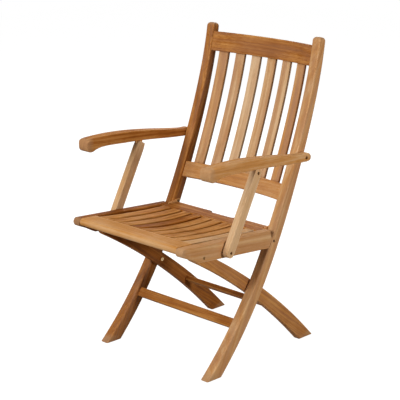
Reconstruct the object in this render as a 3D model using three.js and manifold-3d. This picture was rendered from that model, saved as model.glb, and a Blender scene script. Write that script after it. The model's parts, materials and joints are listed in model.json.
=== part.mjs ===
// Folding wooden armchair. Millimetres, +Z up, the seat faces -Y, +X is the sitter's left.
import * as THREE from 'three';
import { mergeVertices } from 'three/addons/utils/BufferGeometryUtils.js';
import Module from 'manifold-3d';

const wasm = await Module();
wasm.setup();

// Gaps between pieces that touch in the real chair
const fitGap = 0.3;
const pinGap = 0.35;
const roundSteps = 16;
const cornerSteps = 3;
const cutSpare = 5;

// Long legs: front feet at the bottom, back posts at the top
const legHeight = 910;
const legFootY = -157;
const legReach = 440;
const legBendShares = [2.1318, -2.4409, 2.225, -0.9159];
const legFootWidth = 40.3;
const legTopWidth = 26;
const legInnerX = 193.5;
const legThickness = 29;
const legEdge = 4;
const legSteps = 18;
const legDomeShare = 0.55;

// Rails and slats of the back
const crestShare = 0.93846;
const crestTall = 59;
const crestThick = 22;
const lowRailShare = 0.52198;
const lowRailTall = 48.5;
const lowRailThick = 20;
const railCorner = 4;
const backBow = 19;
const bowSteps = 14;
const tenonRoot = 4;
const backSlatCount = 6;
const backSlatPitch = 61;
const backSlatWidth = 33.5;
const backSlatThick = 10;
const backSlatSteps = 10;
const slatEdge = 2;
const tongueLength = 9;
const tongueThick = 6;

// Stretchers between the legs
const frontStretcherShare = 0.13956;
const frontStretcherTall = 28;
const frontStretcherThick = 18;
const rearStretcherY = 135;
const rearStretcherTall = 26;
const rearStretcherThick = 14;
const tenonLength = 14;
const tenonTallShare = 0.62;
const tenonThickShare = 0.5;

// Short legs: rear feet at the bottom, sliding pins under the seat at the top
const crossShare = 0.24396;
const shortLegInnerX = 170;
const shortLegThickness = 21.5;
const shortLegTopWidth = 34;
const shortLegFootWidth = 44;
const shortLegFootY = 272.5;
const shortLegSteps = 16;
const footSpareShare = 0.08;

// Seat: everything is placed from its hinge, forwards along the seat and up from it
const hingeFootShare = 0.4022;
const hingeAhead = 7.5;
const seatSlope = 0.065;
const railRise = 7;
const railInnerX = 194.5;
const railThickness = 26;
const railTaperStart = 294;
const railDropRear = 45;
const railDropFront = 40.5;
const railNoseDrop = 17;
const railNoseRound = 8;
const railProud = 1.5;
const railEdge = 3;
const seatSlatCount = 9;
const seatSlatPitch = 42;
const seatSlatWidth = 31.5;
const seatSlatThick = 14;
const seatSlatDish = 8.5;
const outerSlatDish = 3;
const seatSlatSteps = 8;
const slatFront = 295;
const slatRear = 34;
const slatFrontTop = 7.5;
const slatRearTop = 4.5;
const frontRailFront = 357;
const railFront = frontRailFront + railProud;
const frontRailTop = 8.2;
const frontRailThick = 21;
const frontRailNose = 9;
const rearRailRear = -37;
const rearRailThick = 20;
const rearRailShoulder = 14;
const rearRailSideGap = 5.5;
const notchWidth = 100;
const notchDepth = 13;

// Sliding pins of the short legs, the ledges they push up against and their stop bolts
const slideBehindStop = 8.5;
const slideDrop = 31.5;
const slidePinRadius = 4;
const slidePinReach = 10;
const shortLegTopAhead = 8.3;
const rebateRear = 88;
const rebateDepth = 9;
const stopBehindTaper = 20.5;
const stopForward = railTaperStart - stopBehindTaper;
const stopDrop = 28.9;
const stopRadius = 4;
const stopReach = 7;

// Struts between the arms and the seat
const strutGap = 2.7;
const strutThickness = 20.5;
const strutWidth = 28.7;
const strutEdge = 2.5;
const strutPinForward = 191.1;
const strutPinDrop = 24;
const strutForkThick = 5;
const strutForkDeep = 15;
const strutTopGap = 1.2;

// Arms
const armPivotShare = 0.63912;
const armPivotAhead = 7.6;
const armGap = 0.7;
const armWidth = 40.3;
const armThickness = 44;
const armNoseAhead = 405;
const armTail = 22.5;
const armLength = armNoseAhead + armTail;
const armBaseDrop = 2.6;
const armCornerShare = 0.34;
const armCrownShare = 0.05;
const armSideShares = [
  [0.0035, 0.37, 0.81, 0.1, 0.86],
  [0.008, 0.28, 0.875, 0.045, 0.93],
  [0.0185, 0.175, 0.93, 0.015, 0.975],
  [0.035, 0.108, 0.957, 0, 0.99],
  [0.053, 0.09, 0.968, 0, 1],
  [0.064, 0.09, 0.973, 0, 1],
  [0.072, 0.1, 0.977, 0, 1],
  [0.083, 0.13, 0.984, 0, 1],
  [0.104, 0.2, 0.993, 0, 1],
  [0.137, 0.27, 1.005, 0, 1],
  [0.169, 0.295, 1.011, 0, 1],
  [0.201, 0.3, 1.012, 0, 1],
  [0.243, 0.285, 1.005, 0, 0.99],
  [0.347, 0.23, 0.965, 0, 0.955],
  [0.45, 0.178, 0.888, 0, 0.92],
  [0.55, 0.11, 0.785, 0, 0.885],
  [0.65, 0.025, 0.665, 0, 0.85],
  [0.75, -0.075, 0.53, 0, 0.815],
  [0.85, -0.155, 0.4, 0, 0.775],
  [0.93, -0.205, 0.325, 0, 0.745],
  [0.973, -0.207, 0.317, 0, 0.735],
  [0.984, -0.185, 0.295, 0, 0.725],
  [0.994, -0.11, 0.22, 0.02, 0.7],
  [1, 0, 0.11, 0.08, 0.62],
];

// Metal: bolts, washers, hinge plates and the brackets under the arms
const boltRadius = 3;
const boltHeadRadius = 4.2;
const boltHeadLength = 2.5;
const boltSink = 4;
const recessRadius = 4.6;
const boltGrip = 19;
const crossBoltRadius = 4;
const crossHeadRadius = 7;
const crossHeadLength = 3.2;
const washerRadius = 8;
const plateThick = 2.5;
const plateEar = 8.5;
const plateLugRadius = 7;
const plateLowBehind = 7.3;
const plateLowBelow = 25.7;
const plateHighBehind = 34.9;
const plateHighAbove = 6.6;
const hingePinRadius = 2.5;
const hingePinGrip = 15;
const hingeHeadRadius = 4.5;
const hingeHeadLength = 1.8;
const plateScrewRadius = 2;
const plateScrewGrip = 18;
const plateScrewHead = 4;
const bracketThick = 4;
const bracketWidth = 22;
const bracketEye = 8;
const bracketGrip = 11;

// Finishes
const teak = { color: 0xb8814f, roughness: 0.62, metalness: 0 };
const steel = { color: 0xb9b8b2, roughness: 0.35, metalness: 1 };
const brass = { color: 0x8f7a55, roughness: 0.4, metalness: 1 };

const chair = new THREE.Group();
chair.name = 'folding_armchair';

// Closed geometry to a solid that can be joined and cut
function solidOf(geometry) {
  const bare = geometry.clone();
  bare.deleteAttribute('normal');
  bare.deleteAttribute('uv');
  const merged = mergeVertices(bare, 1e-4);
  const vertProperties = new Float32Array(merged.attributes.position.array);
  const triVerts = new Uint32Array(merged.index.array);
  const mesh = new wasm.Mesh({ numProp: 3, vertProperties, triVerts });
  mesh.merge();
  return new wasm.Manifold(mesh);
}

// Solid to a named mesh, on its own side or mirrored across the middle
function add(name, solid, finish, mirrored) {
  const mesh = solid.getMesh();
  const side = mirrored ? -1 : 1;
  const places = [];
  for (const corner of mesh.triVerts) {
    const at = corner * mesh.numProp;
    places.push(side * mesh.vertProperties[at]);
    places.push(mesh.vertProperties[at + 1]);
    places.push(mesh.vertProperties[at + 2]);
  }
  const geometry = new THREE.BufferGeometry();
  geometry.setAttribute('position', new THREE.Float32BufferAttribute(places, 3));
  const welded = mergeVertices(geometry, 1e-4);
  if (mirrored) {
    const order = welded.index.array;
    for (let at = 0; at < order.length; at += 3) {
      const first = order[at];
      order[at] = order[at + 1];
      order[at + 1] = first;
    }
  }
  const faceted = welded.toNonIndexed();
  faceted.computeVertexNormals();
  const object = new THREE.Mesh(faceted, new THREE.MeshStandardMaterial(finish));
  object.name = name;
  chair.add(object);
}

function addPair(name, solid, finish) {
  add('left_' + name, solid, finish, false);
  add('right_' + name, solid, finish, true);
}

// Outline in Y and Z, drawn out along X, with softened edges on both faces
function plate(outline, fromX, toX, edge, steps = 1) {
  const shape = new THREE.Shape(outline.map(([y, z]) => new THREE.Vector2(y, z)));
  const geometry = new THREE.ExtrudeGeometry(shape, {
    depth: toX - fromX - 2 * edge,
    steps,
    bevelEnabled: edge > 0,
    bevelThickness: edge,
    bevelSize: edge,
    bevelOffset: -edge,
    bevelSegments: 1,
    curveSegments: 1,
  });
  geometry.translate(0, 0, fromX + edge);
  geometry.applyMatrix4(new THREE.Matrix4().set(0, 0, 1, 0, 1, 0, 0, 0, 0, 1, 0, 0, 0, 0, 0, 1));
  return solidOf(geometry);
}

// Round bar along X
function rod(spot, fromX, toX, radius) {
  const geometry = new THREE.CylinderGeometry(radius, radius, toX - fromX, roundSteps);
  geometry.rotateZ(Math.PI / 2);
  geometry.translate((fromX + toX) / 2, spot.y, spot.z);
  return solidOf(geometry);
}

// Bolt along X with a head at the far or the near end
function boltOutwards(spot, tipX, headX, shank, head, headLength) {
  return rod(spot, tipX, headX - headLength / 2, shank).add(rod(spot, headX - headLength, headX, head));
}

function boltInwards(spot, headX, tipX, shank, head, headLength) {
  return rod(spot, headX + headLength / 2, tipX, shank).add(rod(spot, headX, headX + headLength, head));
}

// Ring along X with a hole for a bolt
function washer(spot, fromX, toX, hole) {
  return rod(spot, fromX, toX, washerRadius).subtract(rod(spot, fromX - cutSpare, toX + cutSpare, hole));
}

// Outline of a rounded rectangle around a spot; tall runs along the spot's lean
function roundedBox(spot, tall, thick, corner) {
  const outline = [];
  const turns = [[1, 1], [-1, 1], [-1, -1], [1, -1]];
  turns.forEach(([across, along], quarter) => {
    for (let step = 0; step <= cornerSteps; step += 1) {
      const angle = (quarter + step / cornerSteps) * Math.PI / 2;
      const a = across * (thick / 2 - corner) + corner * Math.cos(angle);
      const b = along * (tall / 2 - corner) + corner * Math.sin(angle);
      outline.push(leaning(spot, a, b));
    }
  });
  return outline;
}

function plainBox(spot, tall, thick) {
  const a = thick / 2;
  const b = tall / 2;
  return [[a, b], [-a, b], [-a, -b], [a, -b]].map(([across, along]) => leaning(spot, across, along));
}

// Point at a distance behind and above a spot, turned by the spot's lean
function leaning(spot, behind, above) {
  const c = Math.cos(spot.lean);
  const s = Math.sin(spot.lean);
  return [spot.y + behind * c + above * s, spot.z - behind * s + above * c];
}

function mix(from, to, share) {
  return from + (to - from) * share;
}

// Centre line of the long leg
function legCentreY(z) {
  const share = z / legHeight;
  return legFootY + legReach * legBendShares.reduce((sum, term, power) => sum + term * share ** (power + 1), 0);
}

function onLeg(z) {
  const lean = Math.atan(legCentreY(z + 0.5) - legCentreY(z - 0.5));
  return { y: legCentreY(z), z, lean, width: mix(legFootWidth, legTopWidth, z / legHeight) };
}

function legOutline(grown) {
  const front = [];
  const rear = [];
  const domeZ = legHeight - legTopWidth * legDomeShare / 2;
  const low = -legFootWidth * Math.sin(onLeg(0).lean);
  for (let step = 0; step <= legSteps; step += 1) {
    const spot = onLeg(mix(low, domeZ, step / legSteps));
    front.push(leaning(spot, -spot.width / 2 - grown, 0));
    rear.push(leaning(spot, spot.width / 2 + grown, 0));
  }
  const top = onLeg(domeZ);
  const dome = [];
  for (let step = 1; step < 2 * cornerSteps; step += 1) {
    const angle = step / (2 * cornerSteps) * Math.PI;
    dome.push(leaning(top, Math.cos(angle) * top.width / 2, Math.sin(angle) * top.width * legDomeShare / 2));
  }
  return rear.concat(dome, front.reverse());
}

// Block under the floor that trims the feet flat
function underFloor() {
  const deep = legFootWidth * 2;
  const geometry = new THREE.BoxGeometry(legHeight, legHeight * 2, deep);
  geometry.translate(0, 0, -deep / 2);
  return solidOf(geometry);
}

const legOuterX = legInnerX + legThickness;
const crossing = onLeg(legHeight * crossShare);

// Seat hinge and the seat's own directions
const hingeFoot = onLeg(legHeight * hingeFootShare);
const [hingeY, hingeZ] = leaning(hingeFoot, -hingeFoot.width / 2 - hingeAhead, 0);
const hinge = { y: hingeY, z: hingeZ, lean: 0 };
const seatLean = Math.atan(seatSlope);

function onSeat(forward, up) {
  const c = Math.cos(seatLean);
  const s = Math.sin(seatLean);
  return [hinge.y - forward * c + up * s, hinge.z + forward * s + up * c];
}

function seatSpot(forward, up) {
  const [y, z] = onSeat(forward, up);
  return { y, z, lean: seatLean };
}

const slideForward = stopForward - slideBehindStop;
const slidePin = seatSpot(slideForward, -slideDrop);
const stopSpot = seatSpot(stopForward, -stopDrop);
const strutFoot = seatSpot(strutPinForward, -strutPinDrop);
const armPivotZ = legHeight * armPivotShare;
const armSpot = onLeg(armPivotZ);
const armPivot = { y: armSpot.y - armPivotAhead, z: armPivotZ, lean: 0 };
const strutTop = { y: armPivot.y + strutFoot.y - hinge.y, z: armPivot.z + strutFoot.z - hinge.z, lean: 0 };

// Cross rails with a tenon at each end, and the mortises that take them
function crossRail(spot, tall, thick, corner, halfLength) {
  const body = plate(roundedBox(spot, tall, thick, corner), -halfLength, halfLength, 0);
  const reach = halfLength + tenonLength;
  const tenon = plate(plainBox(spot, tall * tenonTallShare, thick * tenonThickShare), -reach, reach, 0);
  return body.add(tenon);
}

function mortise(spot, tall, thick, faceX, sideGap) {
  const grown = 2 * fitGap;
  const outline = plainBox(spot, tall * tenonTallShare + grown, thick * tenonThickShare + grown);
  return plate(outline, faceX - cutSpare, faceX + tenonLength - sideGap + fitGap, 0);
}

// The rails of the back bow rearwards between the legs, and the slats stand along the bow
function bowAt(x) {
  return backBow * Math.max(0, 1 - (x / legInnerX) ** 2);
}

function setOnBow(solid, centreX) {
  const slope = -2 * backBow * centreX / legInnerX ** 2;
  return solid.warp((place) => {
    place[1] += bowAt(centreX) + slope * (place[0] - centreX);
  });
}

function bowedRail(spot, tall, thick) {
  const half = legInnerX - fitGap;
  let rail = plate(roundedBox(spot, tall, thick, railCorner), -half, half, 0, bowSteps);
  rail = rail.warp((place) => {
    place[1] += bowAt(place[0]);
  });
  const outline = plainBox(spot, tall * tenonTallShare, thick * tenonThickShare);
  const reach = half + tenonLength;
  return rail.add(plate(outline, half - tenonRoot, reach, 0)).add(plate(outline, -reach, tenonRoot - half, 0));
}

const crestZ = legHeight * crestShare;
const lowRailZ = legHeight * lowRailShare;
const crestSpot = onLeg(crestZ);
const lowRailSpot = onLeg(lowRailZ);
const frontStretcherSpot = onLeg(legHeight * frontStretcherShare);

function makeLeg() {
  let leg = plate(legOutline(0), legInnerX, legOuterX, legEdge).subtract(underFloor());
  leg = leg.subtract(mortise(crestSpot, crestTall, crestThick, legInnerX, fitGap));
  leg = leg.subtract(mortise(lowRailSpot, lowRailTall, lowRailThick, legInnerX, fitGap));
  leg = leg.subtract(mortise(frontStretcherSpot, frontStretcherTall, frontStretcherThick, legInnerX, fitGap));
  leg = leg.subtract(rod(crossing, legInnerX - cutSpare, legInnerX + boltGrip + fitGap, crossBoltRadius + pinGap));
  leg = leg.subtract(rod(armPivot, legOuterX - boltGrip - fitGap, legOuterX + cutSpare, boltRadius + pinGap));
  leg = leg.subtract(rod(plateLowSpot, legInnerX - cutSpare, legOuterX + cutSpare, boltRadius + pinGap));
  leg = leg.subtract(rod(plateLowSpot, legOuterX - boltSink, legOuterX + cutSpare, recessRadius));
  const screwEnd = legInnerX + plateScrewGrip + fitGap;
  return leg.subtract(rod(plateHighSpot, legInnerX - cutSpare, screwEnd, plateScrewRadius + pinGap));
}

// Curved slats of the back, each with a tongue at both ends
function backSlatEnds() {
  const low = lowRailZ + (lowRailTall / 2 + fitGap) * Math.cos(lowRailSpot.lean);
  const high = crestZ - (crestTall / 2 + fitGap) * Math.cos(crestSpot.lean);
  return [low, high];
}

function stripOutline(spotAt, steps, thick, reach, tongue) {
  const behind = [];
  const ahead = [];
  const low = spotAt(0);
  const high = spotAt(1);
  for (let step = 0; step <= steps; step += 1) {
    const spot = spotAt(step / steps);
    behind.push(leaning(spot, thick / 2, 0));
    ahead.push(leaning(spot, -thick / 2, 0));
  }
  const half = tongue / 2;
  const bottom = [leaning(low, -half, 0), leaning(low, -half, -reach), leaning(low, half, -reach), leaning(low, half, 0)];
  const top = [leaning(high, half, 0), leaning(high, half, reach), leaning(high, -half, reach), leaning(high, -half, 0)];
  return bottom.concat(behind, top, ahead.reverse());
}

function backSlatSpot(share) {
  const [low, high] = backSlatEnds();
  return onLeg(mix(low, high, share));
}

function slatCentres(count, pitch) {
  return Array.from({ length: count }, (unused, index) => (index - (count - 1) / 2) * pitch);
}

function makeBackSlat(centreX) {
  const outline = stripOutline(backSlatSpot, backSlatSteps, backSlatThick, tongueLength, tongueThick);
  return setOnBow(plate(outline, centreX - backSlatWidth / 2, centreX + backSlatWidth / 2, slatEdge), centreX);
}

function tongueSlot(spot, inwards, thick, centreX, width) {
  const middle = leaning(spot, 0, inwards * (tongueLength / 2));
  const slotSpot = { y: middle[0], z: middle[1], lean: spot.lean };
  const half = width / 2 + fitGap;
  return plate(plainBox(slotSpot, tongueLength + 4 * fitGap, thick + 2 * fitGap), centreX - half, centreX + half, 0);
}

function makeCrestRail() {
  let rail = bowedRail(crestSpot, crestTall, crestThick);
  for (const x of slatCentres(backSlatCount, backSlatPitch)) {
    rail = rail.subtract(setOnBow(tongueSlot(backSlatSpot(1), 1, tongueThick, x, backSlatWidth), x));
  }
  return rail;
}

function makeLowRail() {
  let rail = bowedRail(lowRailSpot, lowRailTall, lowRailThick);
  for (const x of slatCentres(backSlatCount, backSlatPitch)) {
    rail = rail.subtract(setOnBow(tongueSlot(backSlatSpot(0), -1, tongueThick, x, backSlatWidth), x));
  }
  return rail;
}

// Short leg: a bowed centre line through the foot, the crossing and the top
const shortLegTop = seatSpot(slideForward + shortLegTopAhead, -slideDrop);

function shortLegSpot(share) {
  const legChord = crossBow(share);
  const next = crossBow(share + 0.01);
  const last = crossBow(share - 0.01);
  const lean = Math.atan2(next.y - last.y, next.z - last.z);
  return { y: legChord.y, z: legChord.z, lean, width: mix(shortLegFootWidth, shortLegTopWidth, share) };
}

// Height of the bow that takes the centre line through the crossing bolt
function bowThroughCrossing() {
  const rise = shortLegTop.z;
  const run = shortLegTop.y - shortLegFootY;
  const length = Math.hypot(rise, run);
  const y = crossing.y - shortLegFootY;
  const share = (y * run + crossing.z * rise) / length ** 2;
  return (y * rise - crossing.z * run) / length / (4 * share * (1 - share));
}

function crossBow(share) {
  const rise = shortLegTop.z;
  const run = shortLegTop.y - shortLegFootY;
  const length = Math.hypot(rise, run);
  const bow = bowThroughCrossing() * 4 * share * (1 - share);
  return { y: shortLegFootY + run * share + bow * rise / length, z: rise * share - bow * run / length };
}

function shortLegOutline() {
  const lower = [];
  const upper = [];
  for (let step = 0; step <= shortLegSteps; step += 1) {
    const spot = shortLegSpot(mix(-footSpareShare, 1, step / shortLegSteps));
    lower.push(leaning(spot, -spot.width / 2, 0));
    upper.push(leaning(spot, spot.width / 2, 0));
  }
  const top = shortLegSpot(1);
  const cap = [];
  for (let step = 1; step < 3 * cornerSteps; step += 1) {
    const angle = step / (3 * cornerSteps) * Math.PI;
    cap.push(leaning(top, Math.cos(angle) * top.width / 2, Math.sin(angle) * top.width / 2));
  }
  return upper.concat(cap, lower.reverse());
}

function rearStretcherSpot() {
  let spot = shortLegSpot(0);
  for (let share = 0; share < 1; share += 0.005) {
    const tried = shortLegSpot(share);
    if (Math.abs(tried.y - rearStretcherY) < Math.abs(spot.y - rearStretcherY)) {
      spot = tried;
    }
  }
  return spot;
}

const shortLegOuterX = shortLegInnerX + shortLegThickness;

function makeShortLeg() {
  let leg = plate(shortLegOutline(), shortLegInnerX, shortLegOuterX, railEdge).subtract(underFloor());
  const spot = rearStretcherSpot();
  leg = leg.subtract(mortise(spot, rearStretcherTall, rearStretcherThick, shortLegInnerX, fitGap));
  leg = leg.subtract(rod(crossing, shortLegInnerX - cutSpare, shortLegOuterX + cutSpare, crossBoltRadius + pinGap));
  const pinEnd = shortLegOuterX - boltGrip / 2 - fitGap;
  return leg.subtract(rod(slidePin, pinEnd, shortLegOuterX + cutSpare, slidePinRadius + pinGap));
}

function makeSlidePin() {
  return rod(slidePin, shortLegOuterX - boltGrip / 2, shortLegOuterX + slidePinReach, slidePinRadius);
}

// Side rail of the seat
const railOuterX = railInnerX + railThickness;
const railEndRadius = hingeAhead - fitGap;

function railOutline() {
  const outline = [];
  const noseMiddle = (railRise - railNoseDrop) / 2;
  const noseHalf = (railRise + railNoseDrop) / 2;
  for (let step = 0; step <= 2 * cornerSteps; step += 1) {
    const angle = step / (2 * cornerSteps) * Math.PI;
    const forward = railFront - railNoseRound + Math.sin(angle) * railNoseRound;
    outline.push(onSeat(forward, noseMiddle + Math.cos(angle) * noseHalf));
  }
  outline.push(onSeat(railTaperStart + (railFront - railTaperStart) / 3, -railNoseDrop - (railDropFront - railNoseDrop) * 0.55));
  outline.push(onSeat(railTaperStart, -railDropFront));
  outline.push(onSeat(railTaperStart / 2, -mix(railDropRear, railDropFront, 0.55)));
  const downLean = hingeFoot.lean;
  const drop = railDropRear / Math.cos(downLean) - railEndRadius;
  const lowCorner = { y: hinge.y, z: hinge.z, lean: downLean };
  outline.push(leaning(lowCorner, railEndRadius, -drop));
  const turn = Math.PI / 2 - downLean + seatLean;
  for (let step = 0; step <= cornerSteps; step += 1) {
    const angle = step / cornerSteps * turn;
    const back = Math.cos(angle) * railEndRadius;
    const above = Math.sin(angle) * railEndRadius;
    outline.push(leaning(lowCorner, back, above));
  }
  return outline;
}

function rebate() {
  const front = stopForward + stopRadius;
  const ceiling = -slideDrop + slidePinRadius + pinGap;
  const deep = railDropRear * 2;
  const outline = [
    onSeat(rebateRear, ceiling),
    onSeat(rebateRear, -deep),
    onSeat(front, -deep),
    onSeat(front, ceiling),
  ];
  return plate(outline, railInnerX - cutSpare, railInnerX + rebateDepth, 0);
}

const frontRailSpot = seatSpot((frontRailFront + slatFront) / 2, frontRailTop - frontRailThick / 2);
const rearRailFrontSpot = seatSpot(slatRear - (slatRear - rearRailShoulder) / 2, slatRearTop - rearRailThick / 2);

function seatTenon(spot, tall, thick, grown, reach) {
  return plate(plainBox(spot, tall * tenonThickShare + grown, thick * tenonTallShare + grown), -reach, reach, 0);
}

function makeSideRail() {
  const grown = 2 * fitGap;
  const reach = railInnerX + tenonLength - fitGap + fitGap;
  const frontDeep = frontRailFront - slatFront;
  const rearDeep = slatRear - rearRailShoulder;
  let rail = plate(railOutline(), railInnerX, railOuterX, railEdge).subtract(rebate());
  rail = rail.subtract(plate(legOutline(fitGap), railInnerX - cutSpare, railOuterX + cutSpare, 0));
  rail = rail.subtract(seatTenon(frontRailSpot, frontRailThick, frontDeep, grown, reach));
  rail = rail.subtract(seatTenon(rearRailFrontSpot, rearRailThick, rearDeep, grown, reach));
  rail = rail.subtract(rod(hinge, railInnerX - cutSpare, railInnerX + hingePinGrip, hingePinRadius + pinGap));
  rail = rail.subtract(rod(strutFoot, railOuterX - boltGrip / 1.5, railOuterX + cutSpare, boltRadius + pinGap));
  rail = rail.subtract(rod(stopSpot, railInnerX + rebateDepth - stopReach, railOuterX + cutSpare, stopRadius + pinGap));
  return rail;
}

function makeStopBolt() {
  return rod(stopSpot, railInnerX + rebateDepth - stopReach + fitGap, railOuterX - fitGap, stopRadius);
}

// Dished seat slats and the rails they run between
function seatSlatSpot(share, dish) {
  const span = slatFront - slatRear - 2 * fitGap;
  const forward = slatRear + fitGap + span * share;
  const top = mix(slatRearTop, slatFrontTop, share) - dish * 4 * share * (1 - share);
  const squareEnd = share === 0 || share === 1;
  const rise = squareEnd ? 0 : (slatFrontTop - slatRearTop - dish * 4 * (1 - 2 * share)) / span;
  const [y, z] = onSeat(forward, top - seatSlatThick / 2);
  return { y, z, lean: Math.atan(rise) + seatLean - Math.PI / 2 };
}

// The middle slat is dished the most and the outer ones the least
function slatDish(centreX) {
  const outermost = seatSlatPitch * (seatSlatCount - 1) / 2;
  return mix(seatSlatDish, outerSlatDish, (centreX / outermost) ** 2);
}

function makeSeatSlat(centreX) {
  const dish = slatDish(centreX);
  const spot = (share) => seatSlatSpot(share, dish);
  const outline = stripOutline(spot, seatSlatSteps, seatSlatThick, tongueLength, tongueThick);
  return plate(outline, centreX - seatSlatWidth / 2, centreX + seatSlatWidth / 2, slatEdge);
}

function makeFrontRail() {
  const half = railInnerX - fitGap;
  const front = frontRailFront - frontRailNose;
  const bottom = frontRailTop - frontRailThick;
  const outline = [onSeat(slatFront, frontRailTop), onSeat(slatFront, bottom)];
  for (let step = 0; step <= 2 * cornerSteps; step += 1) {
    const angle = (step / (2 * cornerSteps) - 0.5) * Math.PI;
    const forward = front + Math.cos(angle) * frontRailNose;
    outline.push(onSeat(forward, frontRailTop - frontRailThick / 2 + Math.sin(angle) * frontRailThick / 2));
  }
  const deep = frontRailFront - slatFront;
  let rail = plate(outline.reverse(), -half, half, 0);
  rail = rail.add(seatTenon(frontRailSpot, frontRailThick, deep, 0, half + tenonLength));
  for (const x of slatCentres(seatSlatCount, seatSlatPitch)) {
    rail = rail.subtract(tongueSlot(seatSlatSpot(1, seatSlatDish), 1, tongueThick, x, seatSlatWidth));
  }
  return rail;
}

function makeRearRail() {
  const wide = railInnerX - fitGap;
  const narrow = legInnerX - rearRailSideGap;
  const bottom = slatRearTop - rearRailThick;
  const outlineFront = [
    onSeat(rearRailShoulder, slatRearTop),
    onSeat(rearRailShoulder, bottom),
    onSeat(slatRear, bottom),
    onSeat(slatRear, slatRearTop),
  ];
  const soft = seatSlatThick / 2;
  const outlineRear = [
    onSeat(rearRailShoulder + soft, slatRearTop),
    onSeat(rearRailRear + slatEdge, slatRearTop),
    onSeat(rearRailRear, slatRearTop - slatEdge),
    onSeat(rearRailRear, bottom + slatEdge),
    onSeat(rearRailRear + slatEdge, bottom),
    onSeat(rearRailShoulder + soft, bottom),
  ];
  const deep = slatRear - rearRailShoulder;
  let rail = plate(outlineFront.reverse(), -wide, wide, 0).add(plate(outlineRear, -narrow, narrow, 0));
  rail = rail.add(seatTenon(rearRailFrontSpot, rearRailThick, deep, 0, wide + tenonLength));
  rail = rail.subtract(handHold());
  for (const x of slatCentres(seatSlatCount, seatSlatPitch)) {
    rail = rail.subtract(tongueSlot(seatSlatSpot(0, seatSlatDish), -1, tongueThick, x, seatSlatWidth));
  }
  return rail;
}

// Shallow hand-hold in the rear edge, rounded at both ends
function handHold() {
  const half = notchWidth / 2;
  const shape = new THREE.Shape();
  shape.moveTo(-half - notchDepth, -cutSpare);
  for (let step = 0; step <= cornerSteps; step += 1) {
    const angle = step / cornerSteps * Math.PI / 2;
    shape.lineTo(-half + notchDepth * (1 - Math.cos(angle)), notchDepth * Math.sin(angle));
  }
  for (let step = cornerSteps; step >= 0; step -= 1) {
    const angle = step / cornerSteps * Math.PI / 2;
    shape.lineTo(half - notchDepth * (1 - Math.cos(angle)), notchDepth * Math.sin(angle));
  }
  shape.lineTo(half + notchDepth, -cutSpare);
  const tall = rearRailThick * 3;
  const geometry = new THREE.ExtrudeGeometry(shape, { depth: tall, bevelEnabled: false });
  geometry.translate(0, 0, -tall / 2);
  geometry.rotateX(Math.PI);
  geometry.rotateX(-seatLean);
  const [y, z] = onSeat(rearRailRear, slatRearTop - rearRailThick / 2);
  geometry.translate(0, y, z);
  return solidOf(geometry);
}

// Struts with a forked top
const strutInnerX = railOuterX + strutGap;
const strutOuterX = strutInnerX + strutThickness;
const strutMiddleX = (strutInnerX + strutOuterX) / 2;
const strutLean = Math.atan2(strutTop.y - strutFoot.y, strutTop.z - strutFoot.z);

function strutOutline() {
  const outline = [];
  const top = { y: strutTop.y, z: strutTop.z, lean: strutLean };
  const foot = { y: strutFoot.y, z: strutFoot.z, lean: strutLean };
  const half = strutWidth / 2;
  for (let step = 0; step <= 2 * cornerSteps; step += 1) {
    const angle = step / (2 * cornerSteps) * (Math.PI / 2 + strutLean);
    outline.push(leaning(top, Math.cos(angle) * half, Math.sin(angle) * half));
  }
  const reach = armUndersideAt(strutTop.y) - strutTop.z - strutTopGap;
  outline.push([strutTop.y - half / 4, strutTop.z + reach]);
  const frontY = strutTop.y - half / Math.cos(strutLean) + reach * Math.tan(strutLean);
  outline.push([frontY, armUndersideAt(frontY) - strutTopGap]);
  for (let step = 0; step <= 3 * cornerSteps; step += 1) {
    const angle = step / (3 * cornerSteps) * Math.PI;
    outline.push(leaning(foot, -Math.cos(angle) * half, -Math.sin(angle) * half));
  }
  return outline;
}

function makeStrut() {
  let strut = plate(strutOutline(), strutInnerX, strutOuterX, strutEdge);
  const top = { y: strutTop.y, z: strutTop.z, lean: strutLean };
  const forkTall = strutForkDeep + strutWidth;
  const [forkY, forkZ] = leaning(top, 0, forkTall / 2 - strutForkDeep);
  const forkSpot = { y: forkY, z: forkZ, lean: strutLean };
  const half = strutForkThick / 2;
  const fork = plate(plainBox(forkSpot, forkTall, strutWidth * 2), strutMiddleX - half, strutMiddleX + half, 0);
  strut = strut.subtract(fork);
  for (const spot of [strutTop, strutFoot]) {
    strut = strut.subtract(rod(spot, strutOuterX - boltSink - boltHeadLength - fitGap, strutOuterX + cutSpare, recessRadius));
  }
  strut = strut.subtract(rod(strutFoot, strutInnerX - cutSpare, strutOuterX, boltRadius + pinGap));
  const blind = strutInnerX + cutSpare / 2;
  return strut.subtract(rod(strutTop, blind, strutOuterX, boltRadius + pinGap));
}

function makeStrutFootBolt() {
  const tip = railOuterX - boltGrip / 1.5 + fitGap;
  return boltOutwards(strutFoot, tip, strutOuterX - boltSink, boltRadius, boltHeadRadius, boltHeadLength);
}

function makeStrutTopBolt() {
  const tip = strutInnerX + cutSpare / 2 + fitGap;
  return boltOutwards(strutTop, tip, strutOuterX - boltSink, boltRadius, boltHeadRadius, boltHeadLength);
}

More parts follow.
